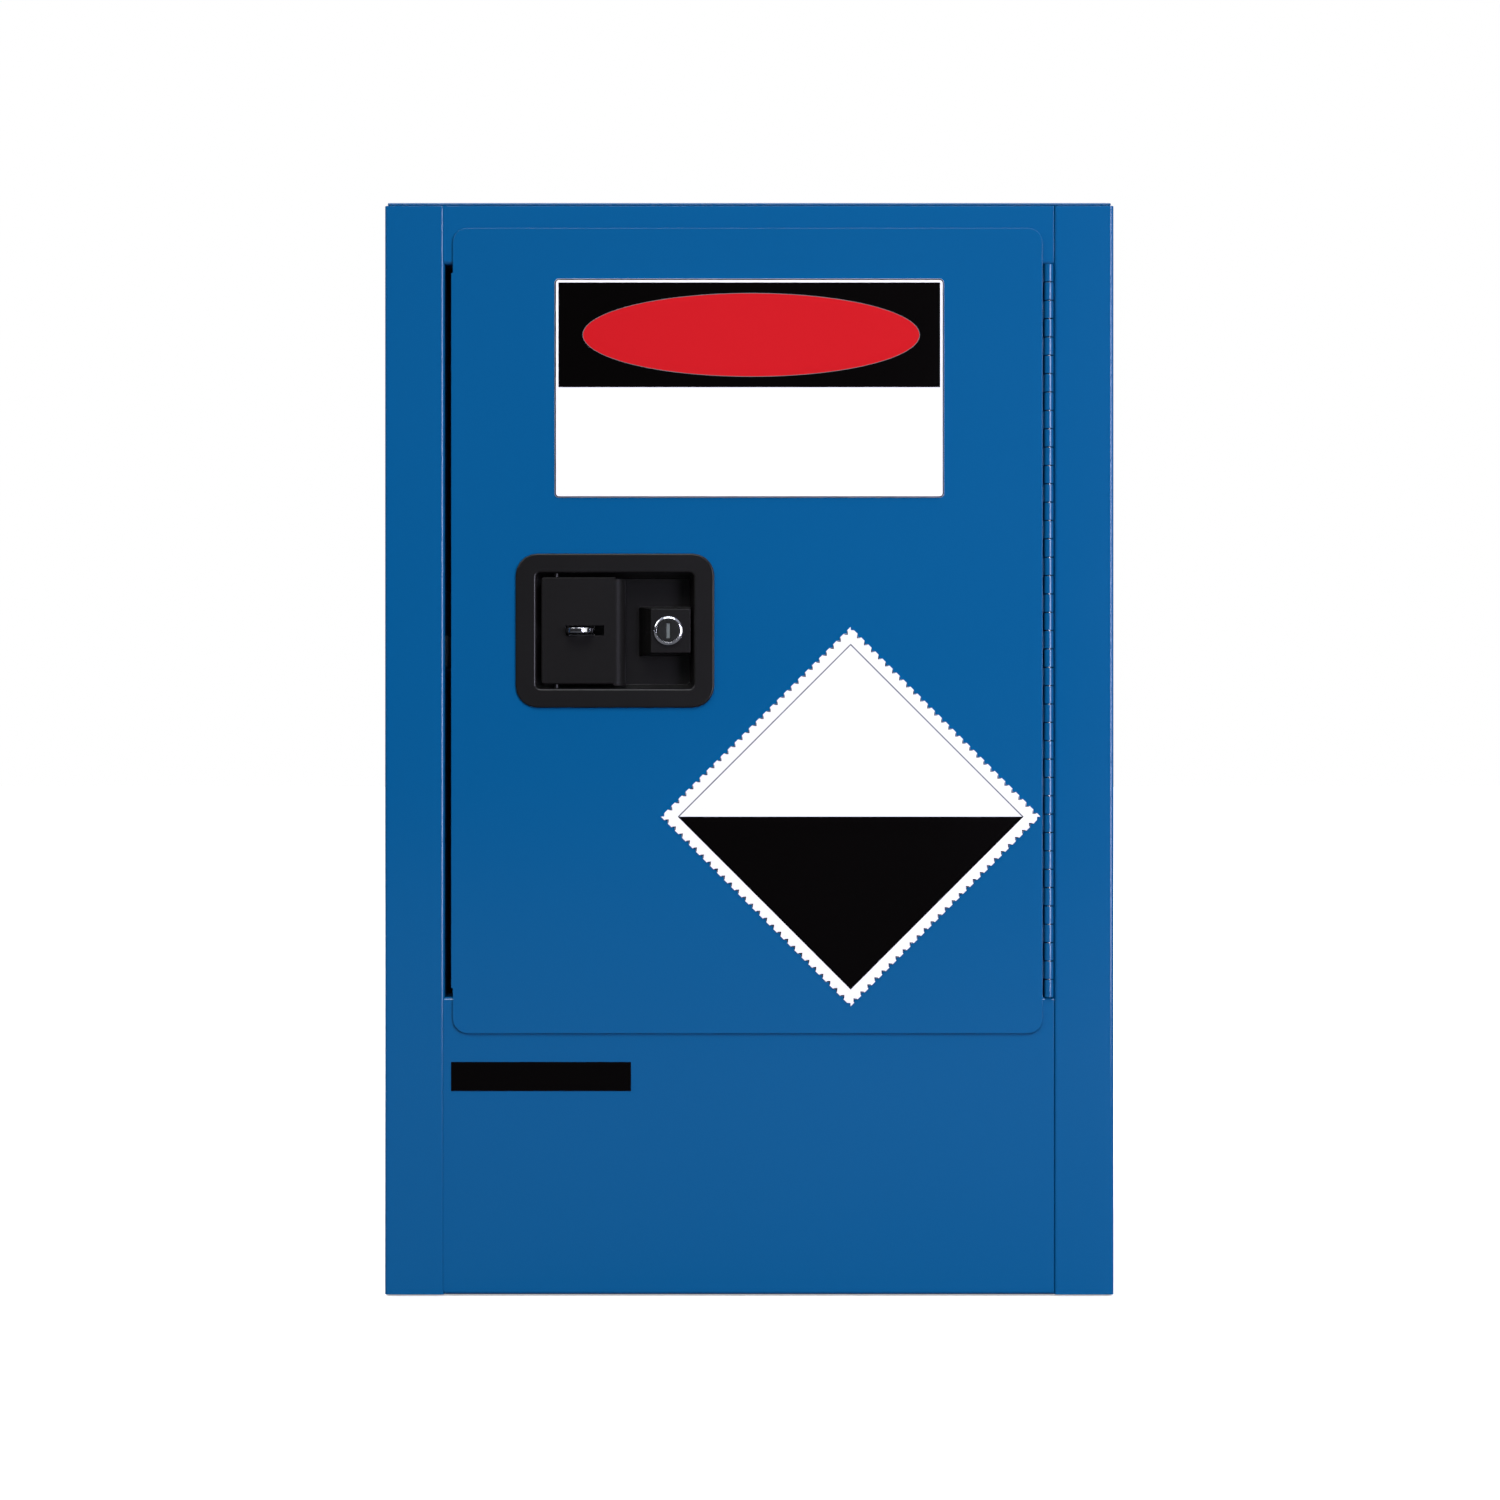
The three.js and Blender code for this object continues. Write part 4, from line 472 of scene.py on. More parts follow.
# The four levelling feet: a turned pad with a shoulder and an M8 stud, and a jam nut
# under the base. Zinc-plated steel, screwed into the weld nuts of the base.
FOOT_PAD = 4 * MM
PAD_ROUND = 0.8 * MM
FOOT_SHOULDER = 6 * MM
BASE_UNDERSIDE = 10 * MM
NUT_RADIUS = 7.5 * MM
NUT_SIDES = 6
NUT_TRIM = 0.5 * MM
STUD_RADIUS = 4 * MM
THREAD_PITCH = 1.25 * MM
THREAD_DEPTH = 0.55 * MM
STUD_TIP = 1 * MM
TURNED_SIDES = 48
ZINC_SCRATCH = (1.2 * MM, 1.2 * MM, 9 * MM)
METAL_CLOUD = 14 * MM
LINE_NOISE = {"detail": 4.0, "roughness": 0.6}
TONE_NOISE = {"detail": 2.0, "roughness": 0.5}
METAL_BUMP = 0.3
ZINC_PLATE = {
    "dark": (0.50, 0.515, 0.53, 1.0), "light": (0.66, 0.665, 0.66, 1.0),
    "gloss": (0.26, 0.42), "line_size": ZINC_SCRATCH, "line_depth": 0.01 * MM}


# Drawn or rubbed metal: fine lines along one way, and slow clouds of tone.
def make_metal_texture():
    group, given, out = new_group(
        "metal_texture",
        [("Line Size", "NodeSocketVector", ZINC_SCRATCH),
         ("Cloud Size", "NodeSocketVector", (METAL_CLOUD,) * 3)],
        [("Lines", "NodeSocketFloat"), ("Cloud", "NodeSocketFloat")])
    place = node_of(group, "ShaderNodeTexCoord").outputs["Object"]
    lines = sized_noise(group, given.outputs["Line Size"], place, **LINE_NOISE)
    cloud = sized_noise(group, given.outputs["Cloud Size"], place, **TONE_NOISE)
    group.links.new(lines, out.inputs["Lines"])
    group.links.new(cloud, out.inputs["Cloud"])
    return group


metal_texture = make_metal_texture()


def metal_material(name, dark, light, gloss, line_size, line_depth):
    material, tree, shader = blank_material(name)
    metal = node_of(tree, "ShaderNodeGroup", node_tree=metal_texture)
    metal.inputs["Line Size"].default_value = line_size
    tree.links.new(
        colours_between(tree, metal.outputs["Cloud"], dark, light), shader.inputs["Base Color"])
    tree.links.new(
        between(tree, metal.outputs["Lines"], gloss[0], gloss[1]), shader.inputs["Roughness"])
    tree.links.new(
        bump_from(tree, metal.outputs["Lines"], line_depth, METAL_BUMP), shader.inputs["Normal"])
    shader.inputs["Metallic"].default_value = 1.0
    return material


zinc_plate = metal_material("zinc_plate", **ZINC_PLATE)


# A turned shell about an upright axis, from (radius, height) points that start and end
# on the axis. The first vertex and the last one lie on the axis.
def turned_shell(profile, place, sides, first):
    vertices = [(place[0], place[1], profile[0][1])]
    for radius, height in profile[1:-1]:
        for i in range(sides):
            turn = 2 * math.pi * i / sides
            vertices.append((place[0] + radius * math.cos(turn),
                             place[1] + radius * math.sin(turn), height))
    vertices.append((place[0], place[1], profile[-1][1]))
    rings = len(profile) - 2
    last = first + 1 + rings * sides
    faces = []
    for i in range(sides):
        j = (i + 1) % sides
        faces.append((first, first + 1 + j, first + 1 + i))
        for ring in range(rings - 1):
            low = first + 1 + ring * sides
            faces.append((low + i, low + j, low + sides + j, low + sides + i))
        top = first + 1 + (rings - 1) * sides
        faces.append((top + i, top + j, last))
    return vertices, faces


def foot_profile(pad_radius, tip):
    profile = [(0, 0), (pad_radius - PAD_ROUND, 0), (pad_radius, PAD_ROUND),
               (pad_radius, FOOT_PAD - PAD_ROUND), (pad_radius - PAD_ROUND, FOOT_PAD),
               (NUT_RADIUS, FOOT_SHOULDER), (STUD_RADIUS, FOOT_SHOULDER)]
    threads = int((tip - STUD_TIP - FOOT_SHOULDER) / THREAD_PITCH)
    for i in range(threads):
        root = FOOT_SHOULDER + (i + 1 / 2) * THREAD_PITCH
        profile.append((STUD_RADIUS - THREAD_DEPTH, root))
        profile.append((STUD_RADIUS, root + THREAD_PITCH / 2))
    profile.append((STUD_RADIUS - STUD_TIP, tip))
    profile.append((0, tip))
    return profile


def nut_profile():
    return [(0, FOOT_SHOULDER), (NUT_RADIUS - NUT_TRIM, FOOT_SHOULDER),
            (NUT_RADIUS, FOOT_SHOULDER + NUT_TRIM), (NUT_RADIUS, BASE_UNDERSIDE - NUT_TRIM),
            (NUT_RADIUS - NUT_TRIM, BASE_UNDERSIDE), (0, BASE_UNDERSIDE)]


# The foot's turned rows are smooth. Its ends and the nut keep their flats.
def make_foot(corner):
    node = "foot_" + corner
    low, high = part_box(node)
    place = ((low.x + high.x) / 2, (low.y + high.y) / 2)
    pad_radius = (high.x - low.x) / 2
    vertices, faces = turned_shell(foot_profile(pad_radius, high.z), place, TURNED_SIDES, 0)
    nut_vertices, nut_faces = turned_shell(nut_profile(), place, NUT_SIDES, len(vertices))
    foot = add_piece("levelling_" + node, vertices + nut_vertices, faces + nut_faces,
                     zinc_plate, "cabinet", "zinc_plate", node)
    for face in foot.data.polygons:
        face.use_smooth = len(face.vertices) == 4 and face.index < len(faces)


for corner in ("front_left", "front_right", "rear_left", "rear_right"):
    make_foot(corner)


# The liner of the compartment and the sump pan under it: the same sheet and the same
# powder as the outside, tabbed and welded inside the body.
for name in ("liner_left", "liner_right", "liner_back", "liner_top", "sump_pan"):
    dress(name, blue_powder)


# The vents, one high on the left and one low on the right: a zinc-plated collar through
# both walls, a drilled stainless arrester disc inside it and a blue cap screwed in.
COLLAR_ROUNDING = 0.3 * MM
ARRESTER_ROUNDING = 0.15 * MM
CAP_ROUNDING = 0.6 * MM
BRUSHED_STAINLESS = {
    "dark": (0.48, 0.48, 0.49, 1.0), "light": (0.62, 0.62, 0.63, 1.0), "gloss": (0.18, 0.34),
    "line_size": (0.25 * MM, 0.25 * MM, 12 * MM), "line_depth": 0.006 * MM}

stainless = metal_material("brushed_stainless", **BRUSHED_STAINLESS)
for side in ("left", "right"):
    dress("vent_collar_" + side, zinc_plate, COLLAR_ROUNDING)
    dress("vent_arrester_" + side, stainless, ARRESTER_ROUNDING)
    dress("vent_cap_" + side, blue_powder, CAP_ROUNDING, 3)


# The continuous hinge: two steel leaves, each rolled round a stainless pin at every
# other knuckle, welded to the jamb and to the door edge and powder coated with them.
KNUCKLES = 40
KNUCKLE_GAP = 0.7 * MM
HINGE_SHEET = 1 * MM
LEAF_CLEARANCE = 0.3 * MM
NECK_BEND = 0.7 * MM
NECK_STEPS = 4
ROLL_STEPS = 30
ROLL_TURN = math.radians(300)
LEAF_ROUNDING = 0.2 * MM
HINGE_PIN_ROUNDING = 0.1 * MM

hinge_joint = next(joint for joint in frame["joints"] if joint["name"] == "door_hinge")
hinge_x, hinge_y = hinge_joint["pos_m"][:2]
frame_leaf_low, frame_leaf_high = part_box("hinge_frame_leaf")
door_leaf_low, door_leaf_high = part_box("hinge_door_leaf")
barrel_radius = hinge_y - frame_leaf_low.y
hinge_foot = frame_leaf_low.z - KNUCKLE_GAP / 2
hinge_head = door_leaf_high.z + KNUCKLE_GAP / 2
knuckle_pitch = (hinge_head - hinge_foot) / KNUCKLES
leaf_start = hinge_y + barrel_radius + LEAF_CLEARANCE


def arc_points(u, v, radius, start, end, steps):
    points = []
    for i in range(steps + 1):
        angle = start + (end - start) * i / steps
        points.append((u + radius * math.cos(angle), v + radius * math.sin(angle)))
    return points


# The middle line of a rolled leaf in (x, y): off the plate, round the neck and round
# the pin. The side is 1 where the plate stands to the right of the pin.
def rolled_line(plate_x, side):
    roll = barrel_radius - HINGE_SHEET / 2
    quarter = math.pi / 2
    corner_x = plate_x - side * NECK_BEND
    corner_y = hinge_y + roll + NECK_BEND
    line = [(plate_x, leaf_start + HINGE_SHEET)]
    if side > 0:
        line += arc_points(corner_x, corner_y, NECK_BEND, 0, -quarter, NECK_STEPS)
        line += arc_points(hinge_x, hinge_y, roll, quarter, quarter + ROLL_TURN, ROLL_STEPS)
    else:
        line += arc_points(corner_x, corner_y, NECK_BEND, math.pi, math.pi + quarter, NECK_STEPS)
        line += arc_points(hinge_x, hinge_y, roll, quarter, quarter - ROLL_TURN, ROLL_STEPS)
    return line


# Both faces of a sheet that follows a line, half its thickness to either side.
def sheet_faces(line, thickness):
    left, right = [], []
    for i, point in enumerate(line):
        before = Vector(line[max(i - 1, 0)])
        after = Vector(line[min(i + 1, len(line) - 1)])
        heading = (after - before).normalized()
        across = Vector((-heading.y, heading.x)) * thickness / 2
        left.append(Vector(point) + across)
        right.append(Vector(point) - across)
    return left, right


# A sheet between two heights: its two faces, its two ends and its top and bottom.
def upright_sheet(line, thickness, low, high, first):
    left, right = sheet_faces(line, thickness)
    count = len(line)
    vertices = []
    for height in (low, high):
        vertices += [(point.x, point.y, height) for point in left]
        vertices += [(point.x, point.y, height) for point in right]
    top = 2 * count
    faces = []
    for i in range(count - 1):
        j = i + 1
        faces.append((i, top + i, top + j, j))
        faces.append((count + j, top + count + j, top + count + i, count + i))
        faces.append((i, j, count + j, count + i))
        faces.append((top + count + i, top + count + j, top + j, top + i))
    faces.append((count, top + count, top, 0))
    end = count - 1
    faces.append((end, top + end, top + count + end, count + end))
    return vertices, [tuple(first + corner for corner in face) for face in faces]


def make_leaf(name, plate_x, side, first_knuckle, body, node):
    low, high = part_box(node)
    plate = [(plate_x, leaf_start), (plate_x, high.y)]
    vertices, faces = upright_sheet(
        plate, HINGE_SHEET, hinge_foot + KNUCKLE_GAP, hinge_head - KNUCKLE_GAP, 0)
    line = rolled_line(plate_x, side)
    for i in range(first_knuckle, KNUCKLES, 2):
        start = hinge_foot + i * knuckle_pitch + KNUCKLE_GAP / 2
        end = start + knuckle_pitch - KNUCKLE_GAP
        more, more_faces = upright_sheet(line, HINGE_SHEET, start, end, len(vertices))
        vertices += more
        faces += more_faces
    leaf = add_piece(name, vertices, faces, blue_powder, body, "blue_paint", node)
    round_edges(leaf, LEAF_ROUNDING)
    leaf.modifiers.remove(leaf.modifiers["flat_faces"])


make_leaf("rolled_frame_leaf", frame_leaf_high.x - HINGE_SHEET / 2, 1, 0, "cabinet",
          "hinge_frame_leaf")
make_leaf("rolled_door_leaf", door_leaf_low.x + HINGE_SHEET / 2, -1, 1, "door",
          "hinge_door_leaf")
dress("hinge_pin", stainless, HINGE_PIN_ROUNDING)


# The strikes that the two rods shoot into: stainless plates 2 mm thick, welded on behind
# the bolt holes of the head and of the sill.
STRIKE_ROUNDING = 0.2 * MM
for name in ("top_strike", "bottom_strike"):
    dress(name, stainless, STRIKE_ROUNDING)


# The door: an outer skin folded into a shallow box and an inner skin set into it, both
# powder coated with the body.
dress("door_outer_skin", blue_powder)
dress("door_inner_skin", blue_powder)


# The placards: rigid white sheet 0.8 mm thick, screen printed with plain fields of
# colour and stuck to the door. They carry borders and fields only, and no words.
WHITE_INK = {"dark": (0.88, 0.88, 0.885, 1.0), "light": (0.92, 0.92, 0.92, 1.0)}
BLACK_INK = {"dark": (0.0010, 0.0007, 0.0006, 1.0), "light": (0.0015, 0.0011, 0.0010, 1.0)}
RED_INK = {"dark": (0.55, 0.0106, 0.0148, 1.0), "light": (0.57, 0.0114, 0.0158, 1.0)}
GREY_INK = {"dark": (0.14, 0.14, 0.14, 1.0), "light": (0.17, 0.17, 0.17, 1.0)}
PRINT_SKIN = {
    "gloss": (0.2, 0.24), "specular": 0.08, "peel_size": 3 * MM, "peel_depth": 0.01 * MM}
PLACARD_CHAMFER = 0.12 * MM
INSIDE_OUTLINE = 1
POINT_TOLERANCE = 1e-7

PRINTS = [
    skin_material("print_white", **WHITE_INK, **PRINT_SKIN),
    skin_material("print_black", **BLACK_INK, **PRINT_SKIN),
    skin_material("print_red", **RED_INK, **PRINT_SKIN),
    skin_material("print_grey", **GREY_INK, **PRINT_SKIN),
]
WHITE_FIELD, BLACK_FIELD, RED_FIELD, GREY_FIELD = range(len(PRINTS))


def rounded_box(u0, u1, v0, v1, radius, steps=8):
    quarter = math.pi / 2
    corners = [(u1 - radius, v1 - radius, 0), (u0 + radius, v1 - radius, 1),
               (u0 + radius, v0 + radius, 2), (u1 - radius, v0 + radius, 3)]
    points = []
    for u, v, turn in corners:
        points += arc_points(u, v, radius, turn * quarter, (turn + 1) * quarter, steps)
    return points


def inside(u, v, loop):
    found = False
    for (u0, v0), (u1, v1) in zip(loop, loop[1:] + loop[:1]):
        if (v0 > v) != (v1 > v) and u < u0 + (u1 - u0) * (v - v0) / (v1 - v0):
            found = not found
    return found


# The flat points and triangles of an outline that is cut along every field's border.
def cut_along_borders(fields):
    points, edges = [], []
    for loop, _ in fields:
        first = len(points)
        points += [Vector(point) for point in loop]
        edges += [(first + i, first + (i + 1) % len(loop)) for i in range(len(loop))]
    flat, _, triangles, _, _, _ = delaunay_2d_cdt(
        points, edges, [], INSIDE_OUTLINE, POINT_TOLERANCE)
    return flat, triangles


# The same points drawn in towards the middle of the outline by the chamfer.
def drawn_in(flat, outline):
    low = Vector((min(u for u, _ in outline), min(v for _, v in outline)))
    high = Vector((max(u for u, _ in outline), max(v for _, v in outline)))
    centre = (low + high) / 2
    half = (high - low) / 2
    return [Vector([centre[k] + (point[k] - centre[k]) * (1 - PLACARD_CHAMFER / half[k])
                    for k in range(2)]) for point in flat]


# The edges that only one triangle has: the rim.
def rim_of(triangles):
    rim = set()
    for triangle in triangles:
        for a, b in zip(triangle, triangle[1:] + triangle[:1]):
            if (b, a) in rim:
                rim.remove((b, a))
            else:
                rim.add((a, b))
    return sorted(rim)


# The kind of field that is printed last over the middle of a triangle.
def field_at(triangle, flat, fields):
    middle = sum((flat[corner] for corner in triangle), Vector((0, 0))) / 3
    return [kind for loop, kind in fields if inside(middle.x, middle.y, loop)][-1]


# A printed plate: the first field is its outline, and each later field is printed over
# the ones before it. The front is cut along every border, so each field is its own faces.
def printed_plate(name, fields, front, back, body, node):
    flat, triangles = cut_along_borders(fields)
    count = len(flat)
    vertices = [(point.x, front, point.y) for point in drawn_in(flat, fields[0][0])]
    vertices += [(point.x, front + PLACARD_CHAMFER, point.y) for point in flat]
    vertices += [(point.x, back, point.y) for point in flat]
    faces, prints = [], []
    for triangle in triangles:
        faces.append(tuple(triangle))
        faces.append(tuple(2 * count + corner for corner in reversed(triangle)))
        prints += [field_at(triangle, flat, fields), WHITE_FIELD]
    for a, b in rim_of(triangles):
        faces.append((b, a, count + a, count + b))
        faces.append((count + b, count + a, 2 * count + a, 2 * count + b))
        prints += [WHITE_FIELD, WHITE_FIELD]
    used = sorted({corner for face in faces for corner in face})
    renumbered = {corner: i for i, corner in enumerate(used)}
    plate = add_piece(name, [vertices[corner] for corner in used],
                      [tuple(renumbered[corner] for corner in face) for face in faces],
                      PRINTS[0], body, "placard_white", node)
    for material in PRINTS[1:]:
        plate.data.materials.append(material)
    plate.data.polygons.foreach_set("material_index", prints)


# The upper placard: a thin black line and a white border round it, a black header with
# a red oval, and a bare white field below.
UPPER_CORNER = 3 * MM
UPPER_LINE = 0.8 * MM
UPPER_BORDER = 2.5 * MM
HEADER_SHARE = 71.9 / 150
OVAL_HALF_SHARES = (115.3 / 266.7, 28.4 / 150)
OVAL_SHIFT = 1.3 * MM
OVAL_RING = 0.4 * MM
OVAL_STEPS = 96


def oval(u, v, half_u, half_v):
    return [(u + half_u * math.cos(2 * math.pi * i / OVAL_STEPS),
             v + half_v * math.sin(2 * math.pi * i / OVAL_STEPS)) for i in range(OVAL_STEPS)]


def make_upper_placard():
    low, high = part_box("upper_placard")
    width, height = high.x - low.x, high.z - low.z
    border, line = UPPER_BORDER, UPPER_LINE
    header_top = high.z - border
    header_low = header_top - HEADER_SHARE * height
    centre = ((low.x + high.x) / 2 + OVAL_SHIFT, (header_top + header_low) / 2)
    half = (OVAL_HALF_SHARES[0] * width, OVAL_HALF_SHARES[1] * height)
    header = [(low.x + border, header_low), (high.x - border, header_low),
              (high.x - border, header_top), (low.x + border, header_top)]
    fields = [
        (rounded_box(low.x, high.x, low.z, high.z, UPPER_CORNER), BLACK_FIELD),
        (rounded_box(low.x + line, high.x - line, low.z + line, high.z - line,
                     UPPER_CORNER - line), WHITE_FIELD),
        (header, BLACK_FIELD),
        (oval(*centre, half[0] + OVAL_RING, half[1] + OVAL_RING), GREY_FIELD),
        (oval(*centre, *half), RED_FIELD),
    ]
    printed_plate("upper_plate", fields, low.y, high.y, "door", "upper_placard")


make_upper_placard()


# The lower placard: a square on its corner with a toothed edge, a thin grey line inside
# it, the lower half black and the upper half bare white.
TEETH = 27
TOOTH_DEPTH = 1.6 * MM
NOTCH_LINE = 0.9 * MM
NOTCH_SHARES = (0.54, 0.96)
LINE_INSET_SHARE = 118.6 / 130
LINE_WIDTH = 1.2 * MM


def square_on_corner(u, v, half):
    return [(u + half, v), (u, v + half), (u - half, v), (u, v - half)]


# The toothed outline, and the black line that is printed in each notch between two teeth.
def toothed_square(u, v, half):
    corners = [Vector(point) for point in square_on_corner(u, v, half)]
    outline, notches = [], []
    for corner, following in zip(corners, corners[1:] + corners[:1]):
        inward = (Vector((u, v)) - (corner + following) / 2).normalized()

        def along(share, depth):
            return corner.lerp(following, share / TEETH) + inward * depth

        for tooth in range(TEETH):
            outline += [along(tooth, 0), along(tooth + 1 / 2, 0),
                        along(tooth + 3 / 4, TOOTH_DEPTH)]
            if tooth + 1 < TEETH:
                notches.append([
                    along(tooth + 1 / 2, 0), along(tooth + 3 / 4, TOOTH_DEPTH),
                    along(tooth + 1, 0), along(tooth + NOTCH_SHARES[1], NOTCH_LINE),
                    along(tooth + 3 / 4, TOOTH_DEPTH + NOTCH_LINE),
                    along(tooth + NOTCH_SHARES[0], NOTCH_LINE)])
    return [tuple(p) for p in outline], [[tuple(p) for p in notch] for notch in notches]


def make_lower_placard():
    low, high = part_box("diamond_placard")
    half = (high.x - low.x) / 2
    u, v = (low.x + high.x) / 2, (low.z + high.z) / 2
    outline, notches = toothed_square(u, v, half)
    outer = half * LINE_INSET_SHARE
    inner = outer - LINE_WIDTH
    fields = [(outline, WHITE_FIELD)]
    fields += [(notch, BLACK_FIELD) for notch in notches]
    fields += [
        (square_on_corner(u, v, outer), GREY_FIELD),
        (square_on_corner(u, v, inner), WHITE_FIELD),
        ([(u - outer, v), (u, v - outer), (u + outer, v)], BLACK_FIELD),
    ]
    printed_plate("lower_plate", fields, low.y, high.y, "door", "diamond_placard")


make_lower_placard()


# The label under the door: a plain black strip of vinyl, 0.5 mm thick and a little
# glossy, stuck to the lower front panel.
LABEL_SKIN = {
    "gloss": (0.22, 0.26), "specular": 0.08, "peel_size": 2 * MM, "peel_depth": 0.01 * MM}
LABEL_ROUNDING = 0.1 * MM
label_black = skin_material("label_black", **BLACK_INK, **LABEL_SKIN)
dress("capacity_label", label_black, LABEL_ROUNDING)


# The latch housing: a die-cast tub with a rounded flange and a ramped lock boss, black
# satin coated, set into the door from the front on a thin rubber gasket.
BLACK_SATIN = {
    "dark": (0.0062, 0.0058, 0.0055, 1.0), "light": (0.0072, 0.0068, 0.0065, 1.0),
    "gloss": (0.28, 0.32), "specular": 0.3,
    "peel_size": 0.7 * MM, "peel_depth": 0.008 * MM, "cloud_size": 40 * MM}
BLACK_RUBBER = {
    "dark": (0.008, 0.008, 0.008, 1.0), "light": (0.013, 0.013, 0.013, 1.0),
    "gloss": (0.7, 0.85), "specular": 0.3,
    "peel_size": 0.5 * MM, "peel_depth": 0.02 * MM, "cloud_size": 20 * MM}
HOUSING_ROUNDING = 0.3 * MM
GASKET_ROUNDING = 0.1 * MM

black_satin = skin_material("black_satin", **BLACK_SATIN)
black_rubber = skin_material("black_rubber", **BLACK_RUBBER)
dress("latch_housing", black_satin, HOUSING_ROUNDING, 3)
dress("housing_gasket", black_rubber, GASKET_ROUNDING)


# The paddle: a pressed plate with a curled edge, black as the housing, on a pin in the
# housing's black satin, with a wound stainless return spring.
SPRING_WIRE = 0.4 * MM
SPRING_TURNS = 7
SPRING_STEPS = 24
WIRE_ROUNDNESS = 3
PADDLE_ROUNDING = 0.4 * MM
PADDLE_PIN_ROUNDING = 0.2 * MM
BLACK_MATT = {
    "dark": (0.0078, 0.0074, 0.0070, 1.0), "light": (0.0090, 0.0085, 0.0081, 1.0),
    "gloss": (0.42, 0.48), "specular": 0.08,
    "peel_size": 0.7 * MM, "peel_depth": 0.01 * MM, "cloud_size": 40 * MM}

black_matt = skin_material("black_matt", **BLACK_MATT)
dress("paddle", black_matt, PADDLE_ROUNDING, 3)
dress("paddle_pin", black_satin, PADDLE_PIN_ROUNDING)


def make_spring():
    low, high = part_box("paddle_spring")
    centre = (low + high) / 2
    radius = (high.x - low.x) / 2 - SPRING_WIRE
    length = high.z - low.z - 2 * SPRING_WIRE
    curve = bpy.data.curves.new("return_spring", "CURVE")
    curve.dimensions = "3D"
    curve.bevel_depth = SPRING_WIRE
    curve.bevel_resolution = WIRE_ROUNDNESS
    curve.use_fill_caps = True
    count = SPRING_TURNS * SPRING_STEPS
    wire = curve.splines.new("POLY")
    wire.points.add(count)
    for i, point in enumerate(wire.points):
        turn = 2 * math.pi * SPRING_TURNS * i / count
        point.co = (centre.x + radius * math.cos(turn), centre.y + radius * math.sin(turn),
                    centre.z + length * (i / count - 1 / 2), 1.0)
    curve.materials.append(stainless)
    spring = bpy.data.objects.new("return_spring", curve)
    bpy.context.scene.collection.objects.link(spring)
    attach(spring, "door")
    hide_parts("paddle_spring")


make_spring()


# The hasp: a polished stainless tongue with an eye for a padlock, fixed to the floor of
# the tub, that stands out through the slot of the paddle.
HASP_ROUNDING = 0.5 * MM
POLISHED_STAINLESS = {
    "dark": (0.60, 0.60, 0.61, 1.0), "light": (0.70, 0.70, 0.71, 1.0), "gloss": (0.08, 0.16),
    "line_size": (6 * MM, 0.3 * MM, 0.3 * MM), "line_depth": 0.003 * MM}

polished = metal_material("polished_stainless", **POLISHED_STAINLESS)
dress("hasp", polished, HASP_ROUNDING, 3)


# The lock: a chromed barrel with a raised ring, a black plug with a key slot and its
# grey dust shutter, a nut behind the tub and a cam on the tail.
LOCK_CHROME = {
    "dark": (0.68, 0.69, 0.71, 1.0), "light": (0.76, 0.77, 0.79, 1.0), "gloss": (0.07, 0.13),
    "line_size": (3 * MM, 3 * MM, 3 * MM), "line_depth": 0.002 * MM}
PLUG_BLACK = {
    "dark": (0.0070, 0.0075, 0.0065, 1.0), "light": (0.0100, 0.0110, 0.0095, 1.0),
    "gloss": (0.26, 0.34), "specular": 0.5,
    "peel_size": 0.6 * MM, "peel_depth": 0.006 * MM, "cloud_size": 6 * MM}
SHUTTER_GREY = {
    "dark": (0.10, 0.12, 0.11, 1.0), "light": (0.15, 0.17, 0.16, 1.0),
    "gloss": (0.35, 0.45), "specular": 0.5,
    "peel_size": 0.6 * MM, "peel_depth": 0.006 * MM, "cloud_size": 4 * MM}
PLUG_ROUNDING = 0.25 * MM
RING_ROUNDING = 0.12 * MM
SHUTTER_ROUNDING = 0.08 * MM
LOCK_ROUNDING = 0.3 * MM
SHUTTER_SINK = 0.7 * MM
SHUTTER_SHEET = 0.5 * MM
SHUTTER_DISH = 0.15 * MM
KEY_SLOT = (2.6 * MM, 10.2 * MM)
SHUTTER_GAP = 0.1 * MM
SHUTTER_ROWS = 8
RING_RISE = 2.5 * MM
CROWN_DROP = 0.75 * MM
CROWN_ROUND = 0.1 * MM
CROWN_STEPS = 6
RING_SIDES = 72
BARREL_BORE = 8 * MM
BARREL_SHANK = 9.2 * MM

chrome = metal_material("lock_chrome", **LOCK_CHROME)
plug_black = skin_material("plug_black", **PLUG_BLACK)
shutter_grey = skin_material("shutter_grey", **SHUTTER_GREY)
dress("lock_plug", plug_black, PLUG_ROUNDING)


# A turned shell about an axis along Y through (u, v), from a closed (radius, y) loop.
def turned_ring(loop, u, v, sides):
    count = len(loop)
    vertices, faces = [], []
    for i in range(sides):
        turn = 2 * math.pi * i / sides
        vertices += [(u + radius * math.cos(turn), y, v + radius * math.sin(turn))
                     for radius, y in loop]
        start, following = i * count, (i + 1) % sides * count
        for k in range(count):
            after = (k + 1) % count
            faces.append((start + k, start + after, following + after, following + k))
    return vertices, faces


